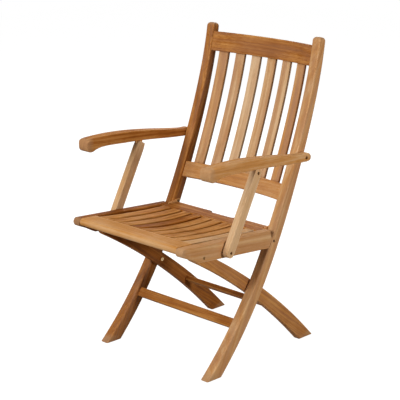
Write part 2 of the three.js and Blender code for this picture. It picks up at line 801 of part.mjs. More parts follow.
// Arms: rounded sections joined along their length
function armSection([along, low, high, inner, outer]) {
  const y = armNoseY + armLength * along;
  const bottom = armBaseZ + (armThickness) * low;
  const top = armBaseZ + (armThickness) * high;
  const near = armInnerX + armWidth * inner;
  const far = armInnerX + armWidth * outer;
  const corner = Math.min(far - near, top - bottom) * armCornerShare;
  const crown = armThickness * armCrownShare;
  const middleX = (near + far) / 2;
  const middleZ = (top + bottom) / 2;
  const points = [];
  const turns = [[1, 1], [-1, 1], [-1, -1], [1, -1]];
  turns.forEach(([across, up], quarter) => {
    for (let step = 0; step <= cornerSteps; step += 1) {
      const angle = (quarter + step / cornerSteps) * Math.PI / 2;
      const x = middleX + across * ((far - near) / 2 - corner) + corner * Math.cos(angle);
      const drop = up > 0 ? crown : 0;
      const z = middleZ + up * ((top - bottom) / 2 - corner) - drop + corner * Math.sin(angle);
      points.push([x, y, z]);
    }
    if (quarter === 0) {
      points.push([middleX, y, top]);
    }
  });
  return points;
}

const armInnerX = legOuterX + armGap;
const armNoseY = armPivot.y - armNoseAhead;
const armBaseZ = armPivot.z - armBaseDrop;

function makeArmBody() {
  const rings = armSideShares.map(armSection);
  const count = rings[0].length;
  const places = rings.flat(2);
  const faces = [];
  for (let ring = 0; ring + 1 < rings.length; ring += 1) {
    for (let at = 0; at < count; at += 1) {
      const next = (at + 1) % count;
      const a = ring * count + at;
      const b = ring * count + next;
      faces.push(a, a + count, b, b, a + count, b + count);
    }
  }
  const last = (rings.length - 1) * count;
  for (let at = 1; at + 1 < count; at += 1) {
    faces.push(0, at, at + 1);
    faces.push(last, last + at + 1, last + at);
  }
  const geometry = new THREE.BufferGeometry();
  geometry.setAttribute('position', new THREE.Float32BufferAttribute(places, 3));
  geometry.setIndex(faces);
  return solidOf(geometry);
}

function armOuterAt(y) {
  const along = (y - armNoseY) / armLength;
  const after = armSideShares.findIndex((row) => row[0] >= along);
  const from = armSideShares[after - 1];
  const to = armSideShares[after];
  const share = (along - from[0]) / (to[0] - from[0]);
  return armInnerX + armWidth * mix(from[4], to[4], share);
}

const armBoltX = armOuterAt(armPivot.y);

function bracketOutline(grown) {
  const outline = [];
  const radius = bracketEye;
  const half = bracketWidth / 2 + grown;
  const top = bracketTopZ() + grown;
  outline.push([strutTop.y - half, top]);
  outline.push([strutTop.y - half, strutTop.z + bracketWidth / 2 - radius / 2]);
  for (let step = 0; step <= 2 * cornerSteps; step += 1) {
    const angle = Math.PI + step / (2 * cornerSteps) * Math.PI;
    outline.push([strutTop.y + Math.cos(angle) * radius, strutTop.z + Math.sin(angle) * radius]);
  }
  outline.push([strutTop.y + half, strutTop.z + bracketWidth / 2 - radius / 2]);
  outline.push([strutTop.y + half, top]);
  return outline;
}

function armUndersideAt(y) {
  const along = (y - armNoseY) / armLength;
  const after = armSideShares.findIndex((row) => row[0] >= along);
  const from = armSideShares[after - 1];
  const to = armSideShares[after];
  const share = (along - from[0]) / (to[0] - from[0]);
  return armBaseZ + armThickness * mix(from[1], to[1], share);
}

function bracketTopZ() {
  return armUndersideAt(strutTop.y) + bracketGrip;
}

function makeArm() {
  let arm = makeArmBody();
  arm = arm.subtract(rod(armPivot, armInnerX - cutSpare, armBoltX + cutSpare, boltRadius + pinGap));
  const recessFloor = armBoltX - boltSink - boltHeadLength - fitGap;
  arm = arm.subtract(rod(armPivot, recessFloor, armBoltX + cutSpare, recessRadius));
  const half = bracketThick / 2 + fitGap;
  return arm.subtract(plate(bracketOutline(fitGap), strutMiddleX - half, strutMiddleX + half, 0));
}

function makeBracket() {
  const half = bracketThick / 2;
  const tongue = plate(bracketOutline(0), strutMiddleX - half, strutMiddleX + half, 0);
  return tongue.subtract(rod(strutTop, strutInnerX, strutOuterX, boltRadius + pinGap));
}

function makeArmBolt() {
  const tip = legOuterX - boltGrip;
  return boltOutwards(armPivot, tip, armBoltX - boltSink, boltRadius, boltHeadRadius, boltHeadLength);
}

// Hinge plates on the inner faces of the long legs
const plateLowSpot = { y: hinge.y + plateLowBehind, z: hinge.z - plateLowBelow, lean: 0 };
const plateHighSpot = { y: hinge.y + plateHighBehind, z: hinge.z + plateHighAbove, lean: 0 };
const plateOuterX = legInnerX - fitGap;
const plateInnerX = plateOuterX - plateThick;

function roundedHull(spots) {
  const points = [];
  for (const { spot, radius } of spots) {
    for (let step = 0; step < roundSteps; step += 1) {
      const angle = step / roundSteps * 2 * Math.PI;
      points.push([spot.y + Math.cos(angle) * radius, spot.z + Math.sin(angle) * radius]);
    }
  }
  points.sort((one, two) => one[0] - two[0] || one[1] - two[1]);
  const lower = halfHull(points);
  const upper = halfHull(points.slice().reverse());
  return lower.slice(0, -1).concat(upper.slice(0, -1));
}

function halfHull(points) {
  const kept = [];
  for (const point of points) {
    while (kept.length > 1 && turnOf(kept[kept.length - 2], kept[kept.length - 1], point) <= 0) {
      kept.pop();
    }
    kept.push(point);
  }
  return kept;
}

function turnOf(a, b, c) {
  return (b[0] - a[0]) * (c[1] - a[1]) - (b[1] - a[1]) * (c[0] - a[0]);
}

function makePlate() {
  const outline = roundedHull([
    { spot: hinge, radius: plateEar },
    { spot: plateLowSpot, radius: plateLugRadius },
    { spot: plateHighSpot, radius: plateLugRadius },
  ]);
  let body = plate(outline, plateInnerX, plateOuterX, 0);
  body = body.subtract(rod(hinge, plateInnerX - cutSpare, plateOuterX + cutSpare, hingePinRadius + pinGap));
  body = body.subtract(rod(plateLowSpot, plateInnerX - cutSpare, plateOuterX + cutSpare, boltRadius + pinGap));
  return body.subtract(rod(plateHighSpot, plateInnerX - cutSpare, plateOuterX + cutSpare, plateScrewRadius + pinGap));
}

function makeHingePin() {
  const tip = railInnerX + hingePinGrip - fitGap;
  const face = plateInnerX - fitGap - hingeHeadLength;
  return boltInwards(hinge, face, tip, hingePinRadius, hingeHeadRadius, hingeHeadLength);
}

function makePlateBolt() {
  const head = legOuterX - boltSink + boltHeadLength + fitGap;
  return boltOutwards(plateLowSpot, plateInnerX - fitGap, head, boltRadius, boltHeadRadius, boltHeadLength);
}

function makePlateScrew() {
  const face = plateInnerX - fitGap - hingeHeadLength;
  const tip = legInnerX + plateScrewGrip;
  return boltInwards(plateHighSpot, face, tip, plateScrewRadius, plateScrewHead, hingeHeadLength);
}

function makeCrossBolt() {
  const face = shortLegInnerX - fitGap - crossHeadLength;
  const tip = legInnerX + boltGrip;
  return boltInwards(crossing, face, tip, crossBoltRadius, crossHeadRadius, crossHeadLength);
}

addPair('long_leg', makeLeg(), teak);
add('crest_rail', makeCrestRail(), teak, false);
add('lower_back_rail', makeLowRail(), teak, false);
slatCentres(backSlatCount, backSlatPitch).forEach((x, index) => {
  add('back_slat_' + (index + 1), makeBackSlat(x), teak, false);
});
const frontStretcherHalf = legInnerX - fitGap;
const frontStretcher = crossRail(
  frontStretcherSpot, frontStretcherTall, frontStretcherThick, railCorner, frontStretcherHalf);
add('front_stretcher', frontStretcher, teak, false);
addPair('hinge_plate', makePlate(), steel);
addPair('hinge_pin', makeHingePin(), steel);
addPair('plate_bolt', makePlateBolt(), steel);
addPair('plate_screw', makePlateScrew(), steel);
addPair('cross_bolt', makeCrossBolt(), brass);
const crossWasher = washer(crossing, shortLegOuterX + fitGap, legInnerX - fitGap, crossBoltRadius + pinGap);
addPair('cross_washer', crossWasher, steel);
addPair('arm_bolt', makeArmBolt(), brass);

addPair('short_leg', makeShortLeg(), teak);
const rearStretcherHalf = shortLegInnerX - fitGap;
const rearStretcher = crossRail(
  rearStretcherSpot(), rearStretcherTall, rearStretcherThick, railCorner, rearStretcherHalf);
add('rear_stretcher', rearStretcher, teak, false);
addPair('slide_pin', makeSlidePin(), steel);

addPair('side_rail', makeSideRail(), teak);
add('front_rail', makeFrontRail(), teak, false);
add('rear_rail', makeRearRail(), teak, false);
slatCentres(seatSlatCount, seatSlatPitch).forEach((x, index) => {
  add('seat_slat_' + (index + 1), makeSeatSlat(x), teak, false);
});
addPair('stop_bolt', makeStopBolt(), brass);
addPair('strut_foot_bolt', makeStrutFootBolt(), brass);
const strutWasher = washer(strutFoot, railOuterX + fitGap, strutInnerX - fitGap, boltRadius + pinGap);
addPair('strut_washer', strutWasher, steel);

addPair('arm', makeArm(), teak);
addPair('arm_bracket', makeBracket(), steel);
addPair('strut', makeStrut(), teak);
addPair('strut_top_bolt', makeStrutTopBolt(), brass);

// The origin stands on the floor under the middle of the whole chair
const bounds = new THREE.Box3().setFromObject(chair);
const middleY = (bounds.min.y + bounds.max.y) / 2;
for (const piece of chair.children) {
  piece.geometry.translate(0, -middleY, 0);
}

export default chair;
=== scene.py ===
"""A folding slatted armchair in oiled teak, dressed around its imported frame.

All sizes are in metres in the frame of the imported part: +Z up, the seat faces
-Y and +X is the sitter's left.
"""

import json
import logging
import math
from collections.abc import Callable
from dataclasses import dataclass, field
from enum import Enum

import bpy
import numpy as np
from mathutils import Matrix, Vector

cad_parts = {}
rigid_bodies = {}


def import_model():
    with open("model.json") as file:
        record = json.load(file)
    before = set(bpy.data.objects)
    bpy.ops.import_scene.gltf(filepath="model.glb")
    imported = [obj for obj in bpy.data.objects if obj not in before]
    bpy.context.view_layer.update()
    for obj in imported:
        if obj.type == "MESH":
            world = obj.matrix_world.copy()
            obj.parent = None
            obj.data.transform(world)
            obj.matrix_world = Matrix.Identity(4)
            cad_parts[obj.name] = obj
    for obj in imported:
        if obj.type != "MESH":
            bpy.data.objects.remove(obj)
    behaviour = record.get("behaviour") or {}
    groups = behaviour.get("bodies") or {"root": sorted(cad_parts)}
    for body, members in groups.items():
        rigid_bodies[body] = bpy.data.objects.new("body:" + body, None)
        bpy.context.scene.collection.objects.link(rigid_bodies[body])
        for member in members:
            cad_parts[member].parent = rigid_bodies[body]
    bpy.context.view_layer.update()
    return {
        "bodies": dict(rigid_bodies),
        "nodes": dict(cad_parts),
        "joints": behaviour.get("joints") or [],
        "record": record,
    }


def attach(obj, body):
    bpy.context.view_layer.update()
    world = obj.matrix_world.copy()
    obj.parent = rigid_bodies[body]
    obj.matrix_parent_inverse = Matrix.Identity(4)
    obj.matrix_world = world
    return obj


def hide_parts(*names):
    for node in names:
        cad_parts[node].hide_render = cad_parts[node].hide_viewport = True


LOG = logging.getLogger("armchair")

Socket = bpy.types.NodeSocket
Groups = dict[str, bpy.types.NodeTree]
Triple = tuple[float, float, float]
Arrays = tuple[np.ndarray, np.ndarray]
Drill = tuple[float, float, float, float, float]
Slide = Callable[[np.ndarray, np.ndarray, np.ndarray], np.ndarray]

SHIFT_Y = -0.01398  # moves the sketch's zero to the middle of the whole chair
TINY = 1e-5
NEAR_EDGE = 0.001
FACE_INSET = 0.0008
RAIL_GAP = 0.0003
RAIL_ROUND = 0.0006
DRILL_OUT = 0.004
HEAD_HOLE = (0.0068, 0.0046)  # depth and radius of the recess that a small bolt's head sits in
PLATE_BOLT = (0.070733, 0.35117)
QUARTER_TURN = math.pi / 2
FLAT_SIDES = ((0, -1), (1, 0), (0, 1), (-1, 0))  # from each corner, back along the flat side before it
ROUNDEST = 0.98  # most of the half size that a corner's radius takes
CLOSEST = 0.9  # most of the flat side that NEAR_EDGE takes
CHUNK = 20000
WEAR_FADE = (1.25, 1.6)
END_FADE = 1.4
MINUS_X = np.array([-1.0, 0.0, 0.0])


class Side(Enum):
    """The two sides of the chair, as the sign of X."""

    LEFT = 1
    RIGHT = -1

    @property
    def word(self) -> str:
        """The side's name as it starts the names of its pieces."""
        return self.name.lower()


class Cut(Enum):
    """How a piece was sawn from its log: the log's centre seen from the piece, in metres."""

    FLAT = (0.012, 0.085)
    RIFT = (0.07, 0.06)
    QUARTER = (0.1, 0.01)


def srgb(red: float, green: float, blue: float) -> tuple[float, float, float, float]:
    """Turns a colour as seen on a screen, 0 to 255, into Blender's linear colour.

    Args:
        red, green, blue: the three parts of the colour.

    Returns:
        The linear colour with an alpha of 1.
    """

    def part(value: float) -> float:
        """One part of the colour: the usual two-piece curve."""
        share = value / 255
        return share / 12.92 if share <= 0.04045 else ((share + 0.055) / 1.055) ** 2.4

    return (part(red), part(green), part(blue), 1.0)


def bore(side: Side, place: tuple[float, float], low: float, high: float, radius: float) -> Drill:
    """A hole along X on one side at y and z, between two distances from the middle."""
    return (*place, side.value * low, side.value * high, radius)


def new_object(name: str, data: bpy.types.ID) -> bpy.types.Object:
    """Makes an object from its data and puts it into the scene.

    Args:
        name: the object's name.
        data: its mesh, lamp or camera.

    Returns:
        The object.
    """
    made = bpy.data.objects.new(name, data)
    bpy.context.scene.collection.objects.link(made)
    return made


# Node sheets and the groups that several finishes share


class Sheet:
    """A node tree that is filled by kind and inputs."""

    def __init__(self, tree: bpy.types.NodeTree) -> None:
        """Takes the tree to fill."""
        self.tree = tree

    @classmethod
    def bare(cls, owner: bpy.types.ID) -> "Sheet":
        """Gives a material or the world an empty tree.

        Args:
            owner: the material or world.

        Returns:
            The sheet of its tree.
        """
        owner.use_nodes = True
        owner.node_tree.nodes.clear()
        return cls(owner.node_tree)

    def add(self, kind: str, inputs: dict | None = None, **settings: object) -> bpy.types.Node:
        """Adds one node.

        Args:
            kind: the node's type without its ShaderNode prefix.
            inputs: a socket, number or colour for each input, by name or number.
            settings: the node's own settings.

        Returns:
            The new node.
        """
        node = self.tree.nodes.new("ShaderNode" + kind)
        for name, value in settings.items():
            setattr(node, name, value)
        for name, value in (inputs or {}).items():
            if isinstance(value, Socket):
                self.tree.links.new(value, node.inputs[name])
            else:
                node.inputs[name].default_value = value
        return node

    def math(self, operation: str, *operands: Socket | float, clamp: bool = False) -> Socket:
        """One sum on sockets and numbers. Returns its result."""
        return self.add("Math", dict(enumerate(operands)), operation=operation, use_clamp=clamp).outputs[0]

    def scaled(self, value: Socket, share: float) -> Socket:
        """A value times a number. Returns the result."""
        return self.math("MULTIPLY", value, share)

    def mix(self, factor: Socket, first: Socket | tuple, second: tuple) -> Socket:
        """Mixes two colours by a factor. Returns the colour."""
        return self.add("Mix", {0: factor, 6: first, 7: second}, data_type="RGBA").outputs[2]

    def ramp(self, factor: Socket, colours: list[tuple]) -> Socket:
        """A colour ramp over a factor.

        Args:
            factor: from 0 to 1.
            colours: the ramp's colours, spaced evenly.

        Returns:
            The colour.
        """
        node = self.add("ValToRGB", {"Fac": factor})
        elements = node.color_ramp.elements
        while len(elements) < len(colours):
            elements.new(0.5)
        for at, (element, colour) in enumerate(zip(elements, colours)):
            element.position = at / (len(colours) - 1)
            element.color = colour
        return node.outputs["Color"]

    def span(self, value: Socket, low: float, high: float) -> Socket:
        """Maps a value's range onto 0 to 1, clamped. Returns the result."""
        return self.add("MapRange", {"Value": value, "From Min": low, "From Max": high}).outputs["Result"]

    def put_out(self, outputs: dict[str, Socket]) -> None:
        """Ends a group with one number for each name.

        Args:
            outputs: the socket that feeds each output.
        """
        for label in outputs:
            self.tree.interface.new_socket(name=label, in_out="OUTPUT", socket_type="NodeSocketFloat")
        end = self.tree.nodes.new("NodeGroupOutput")
        for label, socket in outputs.items():
            self.tree.links.new(socket, end.inputs[label])


def new_group(name: str, numbers: tuple[str, ...], vectors: tuple[str, ...] = ()) -> tuple[Sheet, dict]:
    """Makes an empty shader node group.

    Args:
        name: the group's name.
        numbers: the names of its inputs that are numbers.
        vectors: the names of its inputs that are vectors.

    Returns:
        The sheet to fill, and the input sockets by name.
    """
    tree = bpy.data.node_groups.new(name, "ShaderNodeTree")
    for kind, labels in (("NodeSocketVector", vectors), ("NodeSocketFloat", numbers)):
        for label in labels:
            tree.interface.new_socket(name=label, in_out="INPUT", socket_type=kind)
    start = tree.nodes.new("NodeGroupInput")
    return Sheet(tree), {socket.name: socket for socket in start.outputs}


def figure_group() -> bpy.types.NodeTree:
    """The wood's figure: growth bands round the log's centre, fibres and pores along it.

    The place in the log comes in as a vector: X and Y across the log, Z along it.
    Bands are noise over the distance from the centre, which wanders slowly along
    the log. Fibres and pores are noise drawn out along Z.

    Returns:
        The node group.
    """
    sheet, start = new_group("wood_figure", ("Band Scale", "Wander"), ("Log",))
    lines_per_metre = 330.0
    scales = {
        "wander": ((9, 9, 2.1), 2, 0.5),
        "fade": ((25, 25, 3.5), 1, 0.5),
        "streaks": ((75, 75, 1.7), 4, 0.55),
        "fibres": ((430, 430, 9), 3, 0.6),
        "pores": ((1150, 1150, 34), 1, 0.5),
    }
    noise = {}
    for name, (scale, detail, rough) in scales.items():
        place = sheet.add("VectorMath", {0: start["Log"], 1: scale}, operation="MULTIPLY").outputs[0]
        values = {"Vector": place, "Scale": 1.0, "Detail": detail, "Roughness": rough}
        noise[name] = sheet.add("TexNoise", values).outputs["Fac"]

    wander = sheet.math("MULTIPLY", sheet.math("SUBTRACT", noise["wander"], 0.5), start["Wander"])
    parts = sheet.add("SeparateXYZ", {0: start["Log"]}).outputs
    flat = sheet.add("CombineXYZ", {0: parts[0], 1: parts[1]}).outputs[0]
    distance = sheet.add("VectorMath", {0: flat}, operation="LENGTH").outputs["Value"]
    radius = sheet.math("ADD", distance, wander)
    values = {"W": sheet.math("MULTIPLY", radius, start["Band Scale"]), "Scale": 1.0, "Detail": 3.0}
    bands = sheet.add("TexNoise", {**values, "Roughness": 0.62}, noise_dimensions="1D")
    saw = sheet.math("FRACT", sheet.scaled(radius, lines_per_metre))
    fade = sheet.span(noise["fade"], 0.4, 0.62)
    sheet.put_out(
        {
            "Bands": bands.outputs["Fac"],
            "Lines": sheet.math("MULTIPLY", sheet.math("POWER", saw, 3.0), fade),
            "Streaks": noise["streaks"],
            "Fibres": noise["fibres"],
            "Pores": sheet.span(noise["pores"], 0.6, 0.72),
        }
    )
    return sheet.tree


def scuff_group() -> bpy.types.NodeTree:
    """Wear and handling: blotches over the surface, and worn edges broken up by noise.

    Returns:
        The node group.
    """
    sheet, start = new_group("scuffs", ("Edge", "Blotch Scale", "Break Scale"))
    place = sheet.add("TexCoord").outputs["Object"]

    def noise(scale: str, detail: float, rough: float) -> Socket:
        """Noise at the scale of one of the group's inputs."""
        values = {"Vector": place, "Scale": start[scale], "Detail": detail, "Roughness": rough}
        return sheet.add("TexNoise", values).outputs["Fac"]

    broken = sheet.math("SUBTRACT", noise("Break Scale", 4.0, 0.7), 0.5)
    reach = sheet.math("ADD", start["Edge"], sheet.scaled(broken, 0.9))
    sheet.put_out({"Blotches": noise("Blotch Scale", 3.0, 0.55), "Worn": sheet.span(reach, 0.55, 1.05)})
    return sheet.tree


@dataclass(frozen=True)
class TeakFinish:
    """Oiled teak. Colours are as seen on a screen, 0 to 255, and depths are shares of the ramp."""

    name: str = "oiled_teak"
    bleached: Triple = (218, 184, 144)
    pale: Triple = (206, 163, 116)
    honey: Triple = (195, 136, 73)
    brown: Triple = (151, 89, 32)
    dark: Triple = (94, 47, 14)
    rosy: Triple = (176, 131, 98)
    # pale ends: partly end grain, partly a painted highlight on the noses that face the light
    end_grain: Triple = (178, 140, 104)
    band_depth: float = 0.18
    line_depth: float = 0.1
    streak_depth: float = 0.6
    fibre_depth: float = 0.45
    blotch_depth: float = 0.4
    worn_depth: float = 0.09
    rosy_share: float = 1.15
    pore_share: float = 0.3
    end_share: float = 0.55
    band_scale: float = 105.0
    wander: float = 0.02
    blotch_scale: float = 11.0
    break_scale: float = 90.0
    roughness: float = 0.5
    relief: float = 0.00022

    def shade(self, sheet: Sheet, figure: dict, scuffs: dict, light: Socket) -> Socket:
        """How dark the wood is from 0 to 1: a middle shade, moved by the figure and by wear.

        Args:
            sheet: the node tree.
            figure: the outputs of the wood's figure, by name.
            scuffs: the outputs of the wear, by name.
            light: how much paler than the middle the piece is.

        Returns:
            The shade.
        """
        depths = (
            (sheet.span(figure["Bands"], 0.3, 0.72), self.band_depth),
            (sheet.math("ADD", figure["Lines"], 0.5), self.line_depth),
            (figure["Streaks"], self.streak_depth),
            (figure["Fibres"], self.fibre_depth),
            (scuffs["Blotches"], self.blotch_depth),
        )
        shade = sheet.math("MULTIPLY_ADD", light, -0.5, 0.5)
        for part, depth in depths:
            shade = sheet.math("ADD", shade, sheet.scaled(sheet.math("SUBTRACT", part, 0.5), depth))
        return sheet.math("SUBTRACT", shade, sheet.scaled(scuffs["Worn"], self.worn_depth))

    def build(self, groups: Groups) -> bpy.types.Material:
        """Builds the material.

        Args:
            groups: the shared node groups by name.

        Returns:
            The material, which reads the attributes wood, tone and edge of a piece.
        """
        material = bpy.data.materials.new(self.name)
        sheet = Sheet.bare(material)
        log, tone, edge = (sheet.add("Attribute", attribute_name=name).outputs for name in ("wood", "tone", "edge"))
        values = {"Log": log["Vector"], "Band Scale": self.band_scale, "Wander": self.wander}
        figure = sheet.add("Group", values, node_tree=groups["figure"]).outputs
        values = {"Edge": edge["Fac"], "Blotch Scale": self.blotch_scale, "Break Scale": self.break_scale}
        scuffs = sheet.add("Group", values, node_tree=groups["scuffs"]).outputs
        light, warm, end = sheet.add("SeparateXYZ", {0: tone["Vector"]}).outputs

        shade = self.shade(sheet, figure, scuffs, light)
        stops = (self.bleached, self.pale, self.honey, self.brown, self.dark)
        colour = sheet.ramp(shade, [srgb(*stop) for stop in stops])
        blushed = sheet.math("MULTIPLY", warm, sheet.span(figure["Streaks"], 0.36, 0.64))
        blushed = sheet.math("MULTIPLY", blushed, self.rosy_share, clamp=True)
        colour = sheet.mix(blushed, colour, srgb(*self.rosy))
        colour = sheet.mix(sheet.scaled(figure["Pores"], self.pore_share), colour, srgb(*self.dark))
        # end grain and painted highlight: the ends, and the front of the arms' and side rails' noses, are mixed
        # towards a pale colour
        colour = sheet.mix(sheet.scaled(end, self.end_share), colour, srgb(*self.end_grain))

        rough = sheet.math("ADD", sheet.scaled(figure["Fibres"], 0.16), self.roughness)
        rough = sheet.math("SUBTRACT", rough, sheet.scaled(scuffs["Worn"], 0.1))
        height = sheet.math("SUBTRACT", figure["Fibres"], sheet.scaled(figure["Pores"], 0.9))
        bump = sheet.add("Bump", {"Strength": 0.55, "Distance": self.relief, "Height": height})
        values = {"IOR": 1.45, "Specular IOR Level": 0.03, "Base Color": colour, "Roughness": rough}
        shader = sheet.add("BsdfPrincipled", {**values, "Normal": bump.outputs[0]})
        sheet.add("OutputMaterial", {"Surface": shader.outputs[0]})
        return material


@dataclass(frozen=True)
class MetalFinish:
    """Bare metal with turned or brushed marks and dull patches."""

    name: str
    colour: Triple
    dull: Triple
    roughness: float
    mark_scale: Triple = (90, 1400, 1400)
    patch_scale: float = 220.0
    break_scale: float = 300.0
    relief: float = 0.0001

    def build(self, groups: Groups) -> bpy.types.Material:
        """Builds the material.

        Args:
            groups: the shared node groups by name.

        Returns:
            The material.
        """
        material = bpy.data.materials.new(self.name)
        sheet = Sheet.bare(material)
        place = sheet.add("TexCoord").outputs["Object"]
        drawn = sheet.add("Mapping", {"Scale": self.mark_scale, "Vector": place})
        noise = sheet.add("TexNoise", {"Scale": 1.0, "Detail": 2.0, "Vector": drawn.outputs[0]})
        marks = noise.outputs["Fac"]
        values = {"Edge": 0.0, "Blotch Scale": self.patch_scale, "Break Scale": self.break_scale}
        scuffs = sheet.add("Group", values, node_tree=groups["scuffs"])
        patches = sheet.span(scuffs.outputs["Blotches"], 0.42, 0.68)
        colour = sheet.mix(patches, srgb(*self.colour), srgb(*self.dull))
        rough = sheet.math("ADD", sheet.scaled(patches, 0.2), sheet.scaled(marks, 0.15))
        rough = sheet.math("ADD", rough, self.roughness)
        bump = sheet.add("Bump", {"Strength": 0.3, "Distance": self.relief, "Height": marks})
        values = {"Metallic": 1.0, "Base Color": colour, "Roughness": rough, "Normal": bump.outputs[0]}
        shader = sheet.add("BsdfPrincipled", values)
        sheet.add("OutputMaterial", {"Surface": shader.outputs[0]})
        return material


# Shapes as grids of points


def line(x: np.ndarray, y: np.ndarray, z: np.ndarray) -> np.ndarray:
    """Rows of points from three coordinates, each an array or one number."""
    return np.stack(np.broadcast_arrays(x, y, z), 1)


def run_lengths(points: np.ndarray) -> np.ndarray:
    """Length from the first point to each one, summed over the steps."""
    return np.concatenate([[0.0], np.cumsum(np.linalg.norm(np.diff(points, axis=0), axis=1))])


@dataclass
class Course:
    """The run of a bar: its centre line with two directions across it.

    Everything but the centre may be given once for the whole run.

    Attributes:
        centre: places along the run, one row each.
        first: unit directions across the run that go with half_first.
        second: unit directions across the run that go with half_second.
        half_first, half_second: half the bar's size in each direction.
        corner: the radii of the four long edges, in the order of the quarter turns.
        inset: how far the section draws in at each place, for rounded ends.
        slide: a shift along the run for each point of each section, or None.
        crown: how far the middle of the second direction's upper face stands up.
        ends: lengths from the two ends that are drawn paler: end grain, and on the noses that face the light also a
            painted highlight.
    """

    centre: np.ndarray
    first: np.ndarray
    second: np.ndarray
    half_first: np.ndarray | float
    half_second: np.ndarray | float
    corner: tuple[float, ...] | float
    inset: np.ndarray | float = 0.0
    slide: Slide | None = None
    crown: float = 0.0
    ends: tuple[float, float] = (0.0, 0.0)

    def __post_init__(self) -> None:
        """Spreads what is given once over the whole run, and works out its direction and lengths."""
        shape = self.centre.shape
        self.first, self.second = np.broadcast_to(self.first, shape), np.broadcast_to(self.second, shape)
        self.half_first = np.broadcast_to(self.half_first, shape[0])
        self.half_second = np.broadcast_to(self.half_second, shape[0])
        self.inset = np.broadcast_to(self.inset, shape[0])
        self.corner = np.broadcast_to(self.corner, 4)
        self.tangent = np.cross(self.first, self.second)
        self.distance = run_lengths(self.centre)

    def surface(self, turns: int = 5) -> np.ndarray:
        """The bar's skin as a grid, place by place and round each section.

        A section is a rectangle with round corners: a quarter circle of points at
        each corner, and one point NEAR_EDGE inside each end of each flat side. A
        point is centre + first * a + second * b, drawn in by the inset.

        Args:
            turns: points on each quarter circle.

        Returns:
            Points in a grid of places by section points by 3.
        """
        inset = self.inset[:, None]
        halves = [np.maximum(half[:, None] - inset, TINY) for half in (self.half_first, self.half_second)]
        least = np.minimum(*halves)
        offsets = ([], [])
        for quarter in range(4):
            before, after = FLAT_SIDES[quarter], FLAT_SIDES[quarter - 1]
            turn = np.linspace(0, QUARTER_TURN, turns) + quarter * QUARTER_TURN
            radius = np.clip(self.corner[quarter] - inset * 0.5, TINY, least * ROUNDEST)
            near = np.minimum(NEAR_EDGE, (least - radius) * CLOSEST)
            for axis, wave in enumerate((np.cos(turn), np.sin(turn))):
                arc = -(before[axis] + after[axis]) * (halves[axis] - radius) + radius * wave
                offsets[axis].extend((arc[:, :1] + before[axis] * near, arc, arc[:, -1:] + after[axis] * near))
        a, b = (np.concatenate(part, axis=1) for part in offsets)
        if self.crown:
            b = b - self.crown * np.clip(b / halves[1], 0, 1) ** 3 * (a / halves[0]) ** 2
        grid = self.centre[:, None] + self.first[:, None] * a[..., None] + self.second[:, None] * b[..., None]
        if self.slide is not None:
            grid = grid + self.tangent[:, None] * self.slide(a, b, self.distance[:, None])[..., None]
        return grid

    def read(self, points: np.ndarray) -> Arrays:
        """Where points lie in the bar.

        Each point takes its nearest place on the centre line, moved along that line
        by as far as the point stands ahead of it. Its offsets are the dot products
        with the two directions across.

        Args:
            points: rows of points.

        Returns:
            How near an edge each point is, and how near an end.
        """
        chunks = [points[start : start + CHUNK] for start in range(0, len(points), CHUNK)]
        best = np.concatenate([((part[:, None] - self.centre) ** 2).sum(2).argmin(1) for part in chunks])
        step = np.gradient(self.centre, axis=0)
        pace = step / np.maximum((step * self.tangent).sum(1), 1e-9)[:, None]
        arm = points - self.centre[best]
        ahead = (arm * self.tangent[best]).sum(1)
        arm = arm - pace[best] * ahead[:, None]
        a = (arm * self.first[best]).sum(1)
        b = (arm * self.second[best]).sum(1)
        spare = np.abs(self.half_first[best] - np.abs(a)) + np.abs(self.half_second[best] - np.abs(b))
        radius = max(float(np.mean(self.corner)), 0.001)
        edge = np.clip(WEAR_FADE[0] - spare / (WEAR_FADE[1] * radius), 0, 1)
        along = self.distance[best] + ahead
        end = np.zeros(len(points))
        for away, depth in zip((along, self.distance[-1] - along), self.ends):
            if depth:
                end = np.maximum(end, np.clip(END_FADE - away / depth, 0, 1))
        return edge, end

    def in_board(self, points: np.ndarray) -> np.ndarray:
        """Where points lie in the straight board that the bar was sawn from.

        The board runs along the chord of the centre line, and its other two
        directions are the bar's own at its middle, squared up to the chord.

        Args:
            points: rows of points.

        Returns:
            Rows of the two offsets across the board and the length along it.
        """
        chord = self.centre[-1] - self.centre[0]
        chord = chord / np.linalg.norm(chord)
        across = self.first[len(self.first) // 2]
        across = across - chord * across.dot(chord)
        across = across / np.linalg.norm(across)
        axes = np.stack([across, np.cross(chord, across), chord], 1)
        return (points - (self.centre[0] + self.centre[-1]) / 2) @ axes


def rounded_stations(length: float, steps: int, start: float, end: float, turns: int = 4) -> Arrays:
    """Places along a bar whose two ends are rounded.

    Near an end of radius r the places are r * (1 - cos) and the section draws in
    by r * (1 - sin), and one more ring inside each end face keeps it flat.

    Args:
        length: the bar's length.
        steps: places along its middle.
        start, end: the radii of the two ends.
        turns: places on each rounded end.

    Returns:
        The places and the inset at each.
    """
    angle = np.linspace(0, QUARTER_TURN, turns)
    off, inward = 1 - np.cos(angle), 1 - np.sin(angle)
    middle = np.linspace(start, length - end, steps)[1:-1]
    places = np.concatenate([[0.0], start * off, middle, (length - end * off)[::-1], [length]])
    insets = [[start + FACE_INSET], start * inward, 0 * middle, (end * inward)[::-1], [end + FACE_INSET]]
    return places, np.concatenate(insets)


